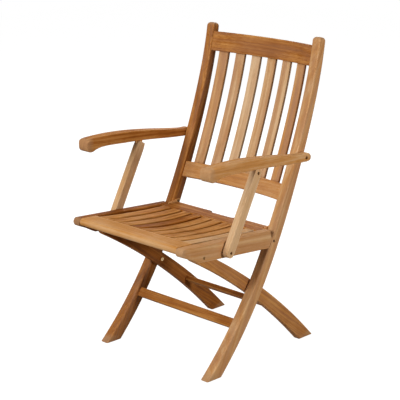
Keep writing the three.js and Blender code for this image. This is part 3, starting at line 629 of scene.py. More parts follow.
def grid_mesh(name: str, grid: np.ndarray) -> bpy.types.Mesh:
    """Makes a closed mesh from a grid of places by section points.

    Faces are the quads between neighbours, with one face over each end. The signed
    volume tells whether they point outwards, and turns them round if they don't.

    Args:
        name: the mesh's name.
        grid: the points.

    Returns:
        The mesh, shaded smooth.
    """
    rows, count = grid.shape[:2]
    index = np.arange(rows * count).reshape(rows, count)
    right = np.roll(index, -1, axis=1)
    quads = np.stack([index[:-1], right[:-1], right[1:], index[1:]], axis=-1).reshape(-1, 4)
    caps = np.stack([index[0][::-1], index[-1]])
    points = grid.reshape(-1, 3)

    def volume(faces: np.ndarray) -> float:
        """Six times the volume between the origin and faces cut into triangles from their first corner."""
        p = points[faces]
        return float(np.einsum("ik,ijk->", p[:, 0], np.cross(p[:, 1:-1], p[:, 2:])))

    if volume(quads) + volume(caps) < 0:
        quads, caps = quads[:, ::-1], caps[:, ::-1]
    mesh = bpy.data.meshes.new(name)
    mesh.from_pydata(points.tolist(), [], quads.tolist() + caps.tolist())
    mesh.update()
    mesh.shade_smooth()
    return mesh


def turned_mesh(name: str, profile: np.ndarray, y: float, z: float, steps: int = 32) -> bpy.types.Mesh:
    """Turns a profile of (x, radius) rows round an axis along X through y and z.

    A point is (x, y + radius * cos, z + radius * sin). The profile starts and ends
    on the axis, where its ring is closed by one small face.

    Args:
        name: the mesh's name.
        profile: the rows of x and radius.
        y, z: where the axis is.
        steps: points round a ring.

    Returns:
        The closed mesh.
    """
    angle = np.linspace(0, 2 * math.pi, steps, endpoint=False)
    radius = np.maximum(profile[:, 1:2], TINY)
    parts = np.broadcast_arrays(profile[:, :1], y + radius * np.cos(angle), z + radius * np.sin(angle))
    return grid_mesh(name, np.stack(parts, axis=-1))


# How much paler than the middle each wooden piece is, from -1 to 1, and how rosy, from 0 to 1. The paleness is
# partly the wood's own tone and partly painted shade, where a piece that sits in shade is made darker, as the front
# stretcher under the seat.
TONES_AND_SHADE: dict[str, tuple[float, float]] = {
    "back_slat_1": (0.28, 0.75),
    "back_slat_2": (0.58, 0.6),
    "back_slat_3": (1, 0.3),
    "back_slat_4": (0.48, 0.44),
    "back_slat_5": (0.58, 0.64),
    "back_slat_6": (0.1, 0.75),
    "crest_rail": (-0.4, 0.3),
    "front_rail": (0.12, 0),
    # the front stretcher is darker partly as painted shade under the seat
    "front_stretcher": (-0.56, 0.3),
    "left_arm": (0.12, 0.1),
    "left_long_leg": (0.22, 0.56),
    "left_short_leg": (-0.2, 0.3),
    "left_side_rail": (0.28, 0.4),
    "left_strut": (0.66, 0),
    "lower_back_rail": (0.08, 0.36),
    "rear_rail": (-0.38, 0),
    "rear_stretcher": (-0.42, 0.04),
    "right_arm": (-0.4, 0),
    "right_long_leg": (-0.48, 0.4),
    "right_short_leg": (-0.6, 0.1),
    "right_side_rail": (-0.7, 0),
    "right_strut": (0.6, 0),
    "seat_slat_1": (-0.3, 0),
    "seat_slat_2": (-0.06, 0),
    "seat_slat_3": (-0.16, 0),
    "seat_slat_4": (-0.5, 0),
    "seat_slat_5": (-0.1, 0),
    "seat_slat_6": (-0.08, 0),
    "seat_slat_7": (-0.16, 0),
    "seat_slat_8": (-0.02, 0),
    "seat_slat_9": (0.52, 0),
}


@dataclass
class Workshop:
    """Makes finished pieces: drills, dresses, rides and replaces.

    Attributes:
        finishes: the materials by name.
        count: how many wooden pieces were made, which sets each one's place in its log.
        board: length of log from one piece to the next.
        turn, off_x, off_y: how far a piece's turn and offsets in its log swing, and how fast.
    """

    finishes: dict[str, bpy.types.Material]
    count: int = 0
    board: float = 1.37
    turn: tuple[float, float] = (0.35, 2.4)
    off_x: tuple[float, float] = (0.013, 1.7)
    off_y: tuple[float, float] = (0.017, 2.9)

    def wooden(
        self,
        name: str,
        course: Course,
        body: str,
        cut: Cut = Cut.RIFT,
        drills: tuple[Drill, ...] = (),
        turns: int = 5,
    ) -> bpy.types.Object:
        """Makes one wooden piece from its course.

        Args:
            name: the CAD node that it stands for.
            course: the piece's run.
            body: the CAD body that it moves with.
            cut: how it was sawn.
            drills: holes along X, each (y, z, from x, to x, radius).
            turns: points on each rounded corner.

        Returns:
            The object.
        """
        piece = new_object(name + "_teak", grid_mesh(name + "_skin", course.surface(turns)))
        if drills:
            self.drill(piece, drills)
        self.log_place(piece.data, course, cut, TONES_AND_SHADE[name])
        return self.finish(piece, name, body, "teak", self.finishes["teak"])

    def drill(self, piece: bpy.types.Object, drills: tuple[Drill, ...]) -> None:
        """Cuts round holes along X into a piece with exact booleans, and keeps the result.

        Args:
            piece: the piece.
            drills: the holes.
        """
        cutters = []
        for y, z, low, high, radius in drills:
            profile = np.array([[low, 0.0], [low, radius], [high, radius], [high, 0.0]])
            cutters.append(new_object("drill", turned_mesh("drill", profile, y, z, 28)))
            modifier = piece.modifiers.new("hole", "BOOLEAN")
            modifier.operation = "DIFFERENCE"
            modifier.solver = "EXACT"
            modifier.object = cutters[-1]
        bpy.context.view_layer.update()
        drilled = bpy.data.meshes.new_from_object(piece.evaluated_get(bpy.context.evaluated_depsgraph_get()))
        piece.modifiers.clear()
        piece.data = drilled
        for cutter in cutters:
            bpy.data.objects.remove(cutter)
        piece.data.set_sharp_from_angle(angle=math.radians(50))

    def log_place(self, mesh: bpy.types.Mesh, course: Course, cut: Cut, shade: tuple[float, float]) -> None:
        """Writes where each point lies in the log, and its tone, as attributes of the mesh.

        The offsets across the bar are turned by a piece's own angle and moved off
        the log's centre, and those along it start at a piece's own length.

        Args:
            mesh: the piece's mesh.
            course: the piece's run.
            cut: how it was sawn.
            shade: how pale and how rosy it is.
        """
        points = np.empty(len(mesh.vertices) * 3, np.float32)
        mesh.vertices.foreach_get("co", points)
        places = points.reshape(-1, 3).astype(float)
        edge, end = course.read(places)
        a, b, along = course.in_board(places).T
        self.count += 1
        turn = self.turn[0] * math.sin(self.count * self.turn[1])
        x = a * math.cos(turn) - b * math.sin(turn) + cut.value[0]
        y = a * math.sin(turn) + b * math.cos(turn) + cut.value[1]
        x = x + self.off_x[0] * math.sin(self.count * self.off_x[1])
        y = y + self.off_y[0] * math.cos(self.count * self.off_y[1])
        layers = (
            ("wood", "FLOAT_VECTOR", "vector", line(x, y, along + self.board * self.count)),
            ("tone", "FLOAT_VECTOR", "vector", line(shade[0], shade[1], end)),
            ("edge", "FLOAT", "value", edge),
        )
        for name, kind, key, values in layers:
            layer = mesh.attributes.new(name, kind, "POINT")
            layer.data.foreach_set(key, values.astype(np.float32).ravel())

    def turned(
        self, name: str, body: str, slot: str, finish: str, profile: np.ndarray, place: tuple[float, float]
    ) -> bpy.types.Object:
        """Makes one turned metal piece along X.

        Args:
            name: the CAD node that it stands for.
            body: the CAD body that it moves with.
            slot: the material slot of the record.
            finish: the name of its material.
            profile: rows of x and radius.
            place: y and z of its axis.

        Returns:
            The object.
        """
        piece = new_object(name + "_metal", turned_mesh(name + "_skin", profile, *place))
        piece.data.set_sharp_from_angle(angle=math.radians(40))
        return self.finish(piece, name, body, slot, self.finishes[finish])

    def finish(
        self, piece: bpy.types.Object, node: str, body: str, slot: str, material: bpy.types.Material
    ) -> bpy.types.Object:
        """Gives a piece its material and ties it to the frame.

        Args:
            piece: the piece.
            node: the CAD node that it stands for.
            body: the CAD body that it moves with.
            slot: the material slot of the record, which is not used.
            material: its material.

        Returns:
            The piece.
        """
        piece.data.materials.clear()
        piece.data.materials.append(material)
        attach(piece, body)
        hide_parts(node)
        LOG.info("%s on %s: %d faces", piece.name, body, len(piece.data.polygons))
        return piece


# The chair's own lines


@dataclass(frozen=True)
class LegLine:
    """Centre line of a long leg: y = foot + reach * (sum of term * share ** power)."""

    height: float = 0.91
    foot: float = -0.157 + SHIFT_Y
    reach: float = 0.44
    bend: tuple[float, ...] = (2.1318, -2.4409, 2.225, -0.9159)
    foot_width: float = 0.0403
    top_width: float = 0.026

    def y(self, z: np.ndarray) -> np.ndarray:
        """The centre line's y at each height."""
        share = np.asarray(z, float) / self.height
        return self.foot + self.reach * sum(term * share ** (power + 1) for power, term in enumerate(self.bend))

    def lean(self, z: np.ndarray, reach: float = 5e-4) -> np.ndarray:
        """The centre line's angle from upright at each height, from its slope over a short reach."""
        z = np.asarray(z, float)
        return np.arctan((self.y(z + reach) - self.y(z - reach)) / (2 * reach))

    def width(self, z: np.ndarray) -> np.ndarray:
        """The leg's width across the line, which narrows evenly with height."""
        return self.foot_width + (self.top_width - self.foot_width) * z / self.height


LEG = LegLine()


def upright_axes(lean: np.ndarray) -> Arrays:
    """Directions across a run in the YZ plane: rearwards across it, and along X."""
    return line(0.0, np.cos(lean), -np.sin(lean)), MINUS_X


def cross_axes(lean: float) -> Arrays:
    """Directions across a bar along X: rearwards across its thickness, and up its height."""
    return np.array([0.0, math.cos(lean), -math.sin(lean)]), np.array([0.0, math.sin(lean), math.cos(lean)])


def foot_slide(lean: float, reach: float) -> Slide:
    """A shift that turns a bar's square end flat on the floor.

    A point at offset a moves by a * tan(lean) along the bar, fading with the square
    of the length left up to reach.

    Args:
        lean: the bar's angle at its foot.
        reach: how far up the shift fades out.

    Returns:
        The shift as a function of the offsets and the length along the bar.
    """

    def slide(a: np.ndarray, _b: np.ndarray, along: np.ndarray) -> np.ndarray:
        """The shift of each point."""
        return a * math.tan(lean) * np.clip(1 - along / reach, 0, 1) ** 2

    return slide


@dataclass(frozen=True)
class Rail:
    """A rail between the long legs, at their centre line."""

    z: float
    tall: float
    thick: float
    cut: Cut = Cut.FLAT
    bowed: bool = True

    def edge(self, sign: int) -> float:
        """Height of its upper or lower edge."""
        return self.z + sign * self.tall / 2 * math.cos(float(LEG.lean(self.z)))


@dataclass
class BackFrame:
    """Long legs, crest rail, lower rail, back slats and front stretcher."""

    leg_inner: float = 0.1935
    leg_thick: float = 0.029
    leg_edge: float = 0.0042
    foot_ease: float = 0.002
    foot_fade: float = 0.09
    top_ease: float = 0.0012
    top_round: float = 0.0105
    rail_edge: float = 0.0035
    slat_pitch: float = 0.061
    slat_width: float = 0.0335
    slat_thick: float = 0.01
    slat_edge: float = 0.0022
    slat_let_in: float = 0.001
    back_bow: float = 0.0189
    bolt_hole: tuple[float, float] = (0.0065, 0.004)
    end_grain: tuple[float, float] = (0.004, 0.006)
    slats: int = 6
    rails: dict[str, Rail] = field(
        default_factory=lambda: {
            "crest_rail": Rail(0.854, 0.059, 0.022),
            "lower_back_rail": Rail(0.475, 0.0485, 0.02),
            "front_stretcher": Rail(0.127, 0.028, 0.018, Cut.QUARTER, False),
        }
    )

    def bow(self, x: np.ndarray) -> np.ndarray:
        """How far back the back stands at x: the bow less the square of x's share of the half width."""
        return self.back_bow * np.clip(1 - (x / self.leg_inner) ** 2, 0, None)

    def leg_course(self, side: Side) -> Course:
        """One long leg: up its curve, domed at the top, flat on the floor.

        Args:
            side: which leg.

        Returns:
            Its run.
        """
        fine = np.linspace(0, LEG.height - self.top_ease, 600)
        lengths = run_lengths(np.stack([LEG.y(fine), fine], 1))
        places, inset = rounded_stations(lengths[-1], 90, self.foot_ease, self.top_round, 6)
        z = np.interp(places, lengths, fine)
        centre = line(side.value * (self.leg_inner + self.leg_thick / 2), LEG.y(z), z)
        halves = (LEG.width(z) / 2, self.leg_thick / 2)
        slide = foot_slide(float(LEG.lean(0.0)), self.foot_fade)
        axes = upright_axes(LEG.lean(z))
        return Course(centre, *axes, *halves, self.leg_edge, inset, slide, ends=self.end_grain)

    def rail_course(self, rail: Rail) -> Course:
        """One rail between the legs, bowed or straight.

        Args:
            rail: the rail.

        Returns:
            Its run.
        """
        half = self.leg_inner - RAIL_GAP
        places, inset = rounded_stations(2 * half, 48, RAIL_ROUND, RAIL_ROUND)
        x = half - places
        centre = line(x, LEG.y(rail.z) + rail.bowed * self.bow(x), rail.z)
        axes = cross_axes(float(LEG.lean(rail.z)))
        return Course(centre, *axes, rail.thick / 2, rail.tall / 2, self.rail_edge, inset)

    def slat_course(self, x: float) -> Course:
        """One back slat, from the lower rail up the legs' curve to the crest rail.

        Args:
            x: where it stands.

        Returns:
            Its run.
        """
        low = self.rails["lower_back_rail"].edge(1) - self.slat_let_in
        high = self.rails["crest_rail"].edge(-1) + self.slat_let_in
        z = np.linspace(low, high, 40)
        first, _ = upright_axes(LEG.lean(z))
        second = np.array([-1.0, 2 * self.back_bow * x / self.leg_inner**2, 0.0])
        centre = line(x, LEG.y(z) + self.bow(x), z)
        return Course(centre, first, second, self.slat_thick / 2, self.slat_width / 2, self.slat_edge)

    def build(self, shop: Workshop) -> None:
        """Builds and dresses every wooden piece of the back frame.

        Args:
            shop: the workshop.
        """
        outer, (depth, radius) = self.leg_inner + self.leg_thick, self.bolt_hole
        for side in Side:
            drills = (bore(side, PLATE_BOLT, outer - depth, outer + DRILL_OUT, radius),)
            shop.wooden(side.word + "_long_leg", self.leg_course(side), "back_frame", Cut.QUARTER, drills)
        for name, rail in self.rails.items():
            shop.wooden(name, self.rail_course(rail), "back_frame", rail.cut)
        for at in range(self.slats):
            x = (at - (self.slats - 1) / 2) * self.slat_pitch
            shop.wooden(f"back_slat_{at + 1}", self.slat_course(x), "back_frame", Cut.QUARTER)


@dataclass
class RearLegs:
    """The two short legs and their stretcher."""

    inner: float = 0.17
    thick: float = 0.0215
    foot_y: float = 0.2725 + SHIFT_Y
    top_y: float = -0.19735 + SHIFT_Y
    top_z: float = 0.36317
    cross: tuple[float, float] = (0.0207 + SHIFT_Y, 0.222)
    foot_width: float = 0.044
    foot_ease: float = 0.002
    foot_fade: float = 0.12
    top_width: float = 0.034
    edge: float = 0.003
    stretcher_y: float = 0.135 + SHIFT_Y
    stretcher_thick: float = 0.014
    stretcher_tall: float = 0.026
    stretcher_edge: float = 0.0025
    end_grain: tuple[float, float] = (0.004, 0.0)

    def centre(self, share: np.ndarray) -> Arrays:
        """The centre line: a chord from foot to top with a bow of 4 * share * (1 - share).

        Args:
            share: places from foot to top, 0 to 1.

        Returns:
            The y and z of each place. The bow is such that the line runs through cross.
        """
        run, rise = self.top_y - self.foot_y, self.top_z
        length = math.hypot(run, rise)
        y, z = self.cross[0] - self.foot_y, self.cross[1]
        at = (y * run + z * rise) / length**2
        bow = (y * rise - z * run) / length / (4 * at * (1 - at)) * 4 * share * (1 - share)
        return self.foot_y + run * share + bow * rise / length, rise * share - bow * run / length

    def course(self, side: Side) -> Course:
        """One short leg: flat on the floor, with a half-round top.

        Args:
            side: which leg.

        Returns:
            Its run.
        """
        share = np.linspace(0, 1, 500)
        y, z = self.centre(share)
        lengths = run_lengths(np.stack([y, z], 1))
        pivot, radius = lengths[-1], self.top_width / 2
        ends = rounded_stations(pivot + radius, 60, self.foot_ease, self.foot_ease)
        places = np.sort(np.concatenate([ends[0][:-1], pivot + np.linspace(0, radius * 0.995, 10)]))
        inset = np.where(places > pivot - 0.01, 0, np.interp(places, *ends))
        inset[0] = self.foot_ease + FACE_INSET
        beyond = np.clip(places - pivot, 0, None)
        slope = np.arctan2(np.gradient(y), np.gradient(z))
        lean = np.interp(places, lengths, slope)
        width = np.interp(places, lengths, self.foot_width + (self.top_width - self.foot_width) * share)
        half = width / 2 * np.sqrt(np.clip(1 - (beyond / radius) ** 2, 1e-4, 1))
        y = np.interp(places, lengths, y) + beyond * math.sin(slope[-1])
        z = np.interp(places, lengths, z) + beyond * math.cos(slope[-1])
        centre = line(side.value * (self.inner + self.thick / 2), y, z)
        slide = foot_slide(float(lean[0]), self.foot_fade)
        axes = upright_axes(lean)
        return Course(centre, *axes, half, self.thick / 2, self.edge, inset, slide, ends=self.end_grain)

    def stretcher_course(self) -> Course:
        """The stretcher between the short legs, set square to them.

        Returns:
            Its run.
        """
        y, z = self.centre(np.linspace(0, 1, 400))
        at = int(np.argmin(np.abs(y - self.stretcher_y)))
        lean = math.atan2(y[at + 1] - y[at - 1], z[at + 1] - z[at - 1])
        half = self.inner - RAIL_GAP
        places, inset = rounded_stations(2 * half, 12, RAIL_ROUND, RAIL_ROUND)
        sizes = (self.stretcher_thick / 2, self.stretcher_tall / 2, self.stretcher_edge)
        return Course(line(half - places, y[at], z[at]), *cross_axes(lean), *sizes, inset)

    def build(self, shop: Workshop) -> None:
        """Builds and dresses the short legs and their stretcher.

        Args:
            shop: the workshop.
        """
        for side in Side:
            shop.wooden(side.word + "_short_leg", self.course(side), "rear_legs", Cut.RIFT)
        shop.wooden("rear_stretcher", self.stretcher_course(), "rear_legs", Cut.QUARTER)


@dataclass
class Seat:
    """Side rails, front and rear rail, and nine dished slats.

    Places are given forwards from the seat's hinge and up from its line.
    """

    hinge: tuple[float, float] = (0.063433, 0.376871)
    slope: float = math.atan(0.065)
    stop: tuple[float, float] = (0.2735, -0.0289)
    rail_inner: float = 0.1945
    rail_thick: float = 0.026
    rail_edge: float = 0.003
    rail_top: float = 0.007
    rail_depths: tuple[float, ...] = (0.045, 0.043, 0.0405, 0.0299, 0.017)
    rail_taper: float = 0.294
    rail_front: float = 0.35846
    rail_nose: float = 0.008
    # the rail's front end is drawn paler: end grain and a painted highlight
    rail_end_grain: tuple[float, float] = (0.0, 0.012)
    leg_tilt: float = math.radians(23.9)
    leg_gap: float = 0.00787
    leg_fade: float = 0.05
    hinge_round: float = 0.0072
    hinge_hole: tuple[float, float] = (0.0152, 0.0049)
    stop_hole: tuple[float, float] = (0.003, 0.0043)
    board: tuple[float, float] = (0.295, 0.357)
    board_top: float = 0.0082
    board_thick: float = 0.021
    board_edges: tuple[float, ...] = (0.0098, 0.0018, 0.0018, 0.0088)
    rear_rail: tuple[float, float] = (-0.037, 0.034)
    rear_thick: float = 0.02
    rear_edge: float = 0.0025
    shoulder: tuple[float, float] = (0.188, 0.014)
    shoulder_round: float = 0.004
    hold_half: float = 0.05
    hold_round: float = 0.013
    slat_run: tuple[float, float] = (0.0342, 0.2948)
    slat_top: float = 0.0045
    slat_rise: float = 0.003
    slat_pitch: float = 0.042
    slat_width: float = 0.0302
    slat_thick: float = 0.014
    slat_edge: float = 0.003
    dish: float = 0.008
    outer_dish: float = 0.003
    slats: int = 9

    def place(self, forward: np.ndarray, up: np.ndarray) -> Arrays:
        """The y and z of places on the seat: the two distances turned by the seat's slope."""
        c, s = math.cos(self.slope), math.sin(self.slope)
        return self.hinge[0] - forward * c + up * s, self.hinge[1] + forward * s + up * c

    def rail_course(self, side: Side) -> Course:
        """One side rail: cut to the leg's slope at the rear, rounded and lowered at the front.

        Args:
            side: which rail.

        Returns:
            Its run.
        """
        taper, nose, front = self.rail_taper, self.rail_nose, self.rail_front - self.rail_nose
        rear = [0.0, 0.0004, 0.001, 0.002]
        round_off = front + nose * np.sin(np.linspace(0, QUARTER_TURN, 9)[1:] * 0.985)
        parts = (rear, np.linspace(0.004, taper, 24), np.linspace(taper, front, 9)[1:], round_off)
        forward = np.concatenate(parts)
        knots = [0, taper / 2, taper, taper + (self.rail_front - taper) / 3, front]
        low = -np.interp(forward, knots, self.rail_depths)
        over = np.clip((forward - front) / nose, 0, 1)
        half = (self.rail_top - low) / 2 * np.sqrt(np.clip(1 - over**2, 1e-3, 1))
        middle = (self.rail_top + low) / 2
        inset = np.zeros_like(forward)
        inset[:2] = FACE_INSET, 0.0003
        ease, corner = 0.0002, -0.003

        def slide(_a: np.ndarray, b: np.ndarray, along: np.ndarray) -> np.ndarray:
            """At the rear the end follows the leg's slope, with its top corner round the hinge.

            Args:
                _a, b: the offsets across the rail.
                along: the length along it.

            Returns:
                The shift of each point.
            """
            up = b + middle[0]
            straight = -self.leg_gap - up * math.tan(self.leg_tilt)
            arc = -np.sqrt(np.clip(self.hinge_round**2 - up**2, 0, None))
            back = np.where(up > corner, np.maximum(straight, arc), straight)
            return (back + ease) * np.clip(1 - along / self.leg_fade, 0, 1) ** 1.5

        centre = line(side.value * (self.rail_inner + self.rail_thick / 2), *self.place(forward, middle))
        second = np.array([0.0, math.sin(self.slope), math.cos(self.slope)])
        sizes = (self.rail_thick / 2, half, self.rail_edge)
        return Course(centre, MINUS_X, second, *sizes, inset, slide, ends=self.rail_end_grain)

    def front_course(self) -> Course:
        """The front rail: a board with a bull nose along its front edge.

        Returns:
            Its run.
        """
        half = self.rail_inner - RAIL_GAP
        places, inset = rounded_stations(2 * half, 14, RAIL_ROUND, RAIL_ROUND)
        y, z = self.place(sum(self.board) / 2, self.board_top - self.board_thick / 2)
        first, second = cross_axes(self.slope)
        sizes = ((self.board[1] - self.board[0]) / 2, self.board_thick / 2, self.board_edges)
        return Course(line(places - half, y, z), -first, second, *sizes, inset)

    def rear_course(self) -> Course:
        """The rear rail: a shoulder at each end, and a hand-hold in the rear edge.

        The rear edge is 37 mm behind the hinge, less 13 mm over the hand-hold with
        quarter-round ends, and 14 mm ahead of it outside the legs' inner faces.

        Returns:
            Its run.
        """
        wide, (narrow, ahead) = self.rail_inner - RAIL_GAP, self.shoulder
        soft, hold = self.shoulder_round, self.hold_round
        flat = self.hold_half - hold
        turn = np.linspace(0, QUARTER_TURN, 8)
        parts = (
            np.linspace(0, flat - 0.001, 5),  # the hand-hold's straight middle
            (self.hold_half - hold * (1 - np.cos(turn)))[::-1],  # its round end
            np.linspace(self.hold_half + 0.003, narrow - soft, 10),  # the plain rear edge
            narrow - soft + soft * np.sin(turn[1:]),  # its eased corner
            [narrow + 0.0002, wide - 0.0004, wide],  # the shoulder beside the leg
        )
        away = np.concatenate(parts)
        x = np.concatenate([-away[::-1], away[1:]])
        away = np.abs(x)
        grip = hold * np.sqrt(np.clip(1 - (np.clip(away - flat, 0, hold) / hold) ** 2, 0, 1))
        ease = soft - np.sqrt(np.clip(soft**2 - np.clip(away - (narrow - soft), 0, soft) ** 2, 0, None))
        rear = np.where(away > narrow, ahead, self.rear_rail[0] + grip + ease)
        front = self.rear_rail[1]
        y, z = self.place((front + rear) / 2, self.slat_top - self.rear_thick / 2)
        first, second = cross_axes(self.slope)
        return Course(line(x, y, z), -first, second, (front - rear) / 2, self.rear_thick / 2, self.rear_edge)

    def slat_course(self, x: float) -> Course:
        """One slat: its level line less the dish of 4 * share * (1 - share), least in the outer slats.

        Args:
            x: where it lies.

        Returns:
            Its run.
        """
        outermost = (self.slats - 1) / 2 * self.slat_pitch
        dish = self.dish + (self.outer_dish - self.dish) * (x / outermost) ** 2
        rear, length = self.slat_run[0], self.slat_run[1] - self.slat_run[0]
        share = np.linspace(0, 1, 32)
        top = self.slat_top + self.slat_rise * share - dish * 4 * share * (1 - share)
        angle = np.arctan((self.slat_rise - dish * 4 * (1 - 2 * share)) / length) + self.slope
        centre = line(x, *self.place(rear + length * share, top - self.slat_thick / 2))
        second = line(0.0, np.sin(angle), np.cos(angle))
        return Course(centre, MINUS_X, second, self.slat_width / 2, self.slat_thick / 2, self.slat_edge)

    def build(self, shop: Workshop) -> None:
        """Builds and dresses every wooden piece of the seat.

        Args:
            shop: the workshop.
        """
        inner, outer = self.rail_inner, self.rail_inner + self.rail_thick
        (stop_depth, stop_radius), (hinge_depth, hinge_radius) = self.stop_hole, self.hinge_hole
        for side in Side:
            drills = (
                bore(side, self.place(*self.stop), outer - stop_depth, outer + DRILL_OUT, stop_radius),
                bore(side, self.hinge, inner - DRILL_OUT, inner + hinge_depth, hinge_radius),
            )
            shop.wooden(side.word + "_side_rail", self.rail_course(side), "seat", Cut.FLAT, drills)
        shop.wooden("front_rail", self.front_course(), "seat", Cut.FLAT)
        shop.wooden("rear_rail", self.rear_course(), "seat", Cut.RIFT)
        for at in range(self.slats):
            x = (at - (self.slats - 1) / 2) * self.slat_pitch
            shop.wooden(f"seat_slat_{at + 1}", self.slat_course(x), "seat", Cut.RIFT)


def smooth_through(x: np.ndarray, y: np.ndarray, at: np.ndarray) -> np.ndarray:
    """A smooth curve through points by cubic pieces.

    Each point's slope is the mean of the slopes of its two neighbours' chords,
    weighted by the other chord's length, and pieces are cubic Hermite curves.

    Args:
        x, y: the points, with x rising.
        at: where to read the curve.

    Returns:
        The curve's values.
    """
    width = np.diff(x)
    chord = np.diff(y) / width
    slope = np.empty_like(x)
    slope[0], slope[-1] = chord[0], chord[-1]
    slope[1:-1] = (chord[:-1] * width[1:] + chord[1:] * width[:-1]) / (width[1:] + width[:-1])
    piece = np.clip(np.searchsorted(x, at) - 1, 0, len(width) - 1)
    t = (at - x[piece]) / width[piece]
    a = (1 + 2 * t) * (1 - t) ** 2 * y[piece]
    b = t * (1 - t) ** 2 * width[piece] * slope[piece]
    c = t**2 * (3 - 2 * t) * y[piece + 1]
    d = t**2 * (t - 1) * width[piece] * slope[piece + 1]
    return a + b + c + d


@dataclass
class Arms:
    """Two flat arms with a club nose.

    Each row of the table is a place along the arm with its underside, top, inner
    and outer face, as shares of the arm's length, depth and width.
    """

    inner: float = 0.2232
    width: float = 0.0403
    length: float = 0.4275
    depth: float = 0.044
    nose_y: float = 0.170551 - 0.40495
    base_z: float = 0.5816 - 0.0026
    bolt: tuple[float, float] = (0.170551, 0.5816)
    edges: tuple[float, ...] = (0.0065, 0.006, 0.0032, 0.0042)
    crown: float = 0.0006
    gather: float = 0.195
    # the nose's first 28 mm are drawn paler, most at the tip: end grain and a painted highlight
    end_grain: tuple[float, float] = (0.02, 0.006)
    rows: tuple[tuple[float, float, float, float, float], ...] = (
        (0.0035, 0.36, 0.78, 0.06, 0.92),
        (0.008, 0.27, 0.86, 0.02, 0.97),
        (0.0185, 0.155, 0.93, 0, 1),
        (0.035, 0.095, 0.965, 0, 1),
        (0.047, 0.09, 0.978, 0, 1),
        (0.057, 0.105, 0.986, 0, 1),
        (0.067, 0.135, 0.988, 0, 1),
        (0.08, 0.185, 0.992, 0, 1),
        (0.104, 0.25, 1.0, 0, 1),
        (0.137, 0.293, 1.008, 0, 1),
        (0.169, 0.306, 1.012, 0, 1),
        (0.201, 0.304, 1.012, 0, 1),
        (0.243, 0.285, 1.005, 0, 0.99),
        (0.347, 0.23, 0.965, 0, 0.955),
        (0.45, 0.178, 0.888, 0, 0.92),
        (0.55, 0.11, 0.785, 0, 0.885),
        (0.65, 0.025, 0.665, 0, 0.85),
        (0.75, -0.075, 0.53, 0, 0.815),
        (0.85, -0.155, 0.4, 0, 0.775),
        (0.93, -0.205, 0.325, 0, 0.745),
        (0.973, -0.207, 0.317, 0, 0.735),
        (0.984, -0.185, 0.295, 0, 0.725),
        (0.994, -0.11, 0.22, 0.02, 0.7),
        (1, 0, 0.11, 0.08, 0.62),
    )

    def course(self, side: Side) -> Course:
        """One arm, smoothed through the table, with its places gathered towards both ends.

        Args:
            side: which arm.

        Returns:
            Its run.
        """
        table = np.array(self.rows)
        start, end = table[0, 0], table[-1, 0]
        spread = np.linspace(0, 1, 130)
        spread = spread - self.gather * np.sin(2 * math.pi * spread) / (2 * math.pi)
        along = start + (end - start) * spread
        low, high, near, far = (smooth_through(table[:, 0], column, along) for column in table[:, 1:].T)
        low, high = self.base_z + self.depth * low, self.base_z + self.depth * high
        near, far = self.inner + self.width * near, self.inner + self.width * np.minimum(far, 1)
        centre = line(side.value * (near + far) / 2, self.nose_y + self.length * along, (low + high) / 2)
        axes = (side.value * -MINUS_X, np.array([0.0, 0.0, 1.0]))
        halves = ((far - near) / 2, (high - low) / 2)
        return Course(centre, *axes, *halves, self.edges, crown=self.crown, ends=self.end_grain)

    def outer_at(self, y: float) -> float:
        """The outer face's distance from the middle at a place along the arm."""
        table = np.array(self.rows)
        return self.inner + self.width * float(np.interp((y - self.nose_y) / self.length, table[:, 0], table[:, 4]))

    def build(self, shop: Workshop) -> None:
        """Builds and dresses both arms.

        Args:
            shop: the workshop.
        """
        face, (depth, radius) = self.outer_at(self.bolt[0]), HEAD_HOLE
        for side in Side:
            name = side.word + "_arm"
            drills = (bore(side, self.bolt, face - depth, face + DRILL_OUT, radius),)
            shop.wooden(name, self.course(side), name, Cut.RIFT, drills, turns=7)


@dataclass
class Struts:
    """Two struts from the seat's side rails up to the arms."""

    inner: float = 0.2232
    thick: float = 0.0205
    width: float = 0.0287
    edge: float = 0.0026
    foot: tuple[float, float] = (-0.128821, 0.365317)
    top: tuple[float, float] = (-0.021703, 0.570045)
    reach: float = 0.015
    round_reach: float = 0.0153
    fade: float = 0.03

    def course(self, side: Side) -> Course:
        """One strut: half round at the foot, shaped to clear the arm at the top.

        Args:
            side: which strut.

        Returns:
            Its run.
        """
        radius = self.width / 2
        run, rise = self.top[0] - self.foot[0], self.top[1] - self.foot[1]
        lean, span = math.atan2(run, rise), math.hypot(run, rise)
        foot = -radius * np.cos(np.linspace(0, QUARTER_TURN, 12)) * 0.998
        along = np.concatenate([foot, np.linspace(0, span, 24)[1:]])
        half = radius * np.sqrt(np.clip(1 - (np.minimum(along, 0) / radius) ** 2, 2e-3, 1))
        inset = np.zeros_like(along)
        inset[-1] = 0.0012

        def slide(a: np.ndarray, _b: np.ndarray, place: np.ndarray) -> np.ndarray:
            """At the top each point goes on to the arm's underside in front, or to a round behind.

            Args:
                a, _b: the offsets across the strut.
                place: the length along it.

            Returns:
                The shift of each point.
            """
            straight = (self.reach + a * math.sin(lean)) / math.cos(lean)
            share = np.clip(a, 0, None) / (radius + 2e-4)
            round_off = self.round_reach * np.sqrt(np.clip(1 - share**2, 0, 1))
            fade = np.clip((place - (span + radius - self.fade)) / self.fade, 0, 1)
            return np.minimum(straight, round_off) * fade**1.2

        y, z = self.foot[0] + along * math.sin(lean), self.foot[1] + along * math.cos(lean)
        centre = line(side.value * (self.inner + self.thick / 2), y, z)
        axes = upright_axes(np.full_like(along, lean))
        return Course(centre, *axes, half, self.thick / 2, self.edge, inset, slide)

    def build(self, shop: Workshop) -> None:
        """Builds and dresses both struts.

        Args:
            shop: the workshop.
        """
        outer, (depth, radius) = self.inner + self.thick, HEAD_HOLE
        for side in Side:
            name = side.word + "_strut"
            places = (self.foot, self.top)
            drills = tuple(bore(side, place, outer - depth, outer + DRILL_OUT, radius) for place in places)
            shop.wooden(name, self.course(side), name, Cut.QUARTER, drills)


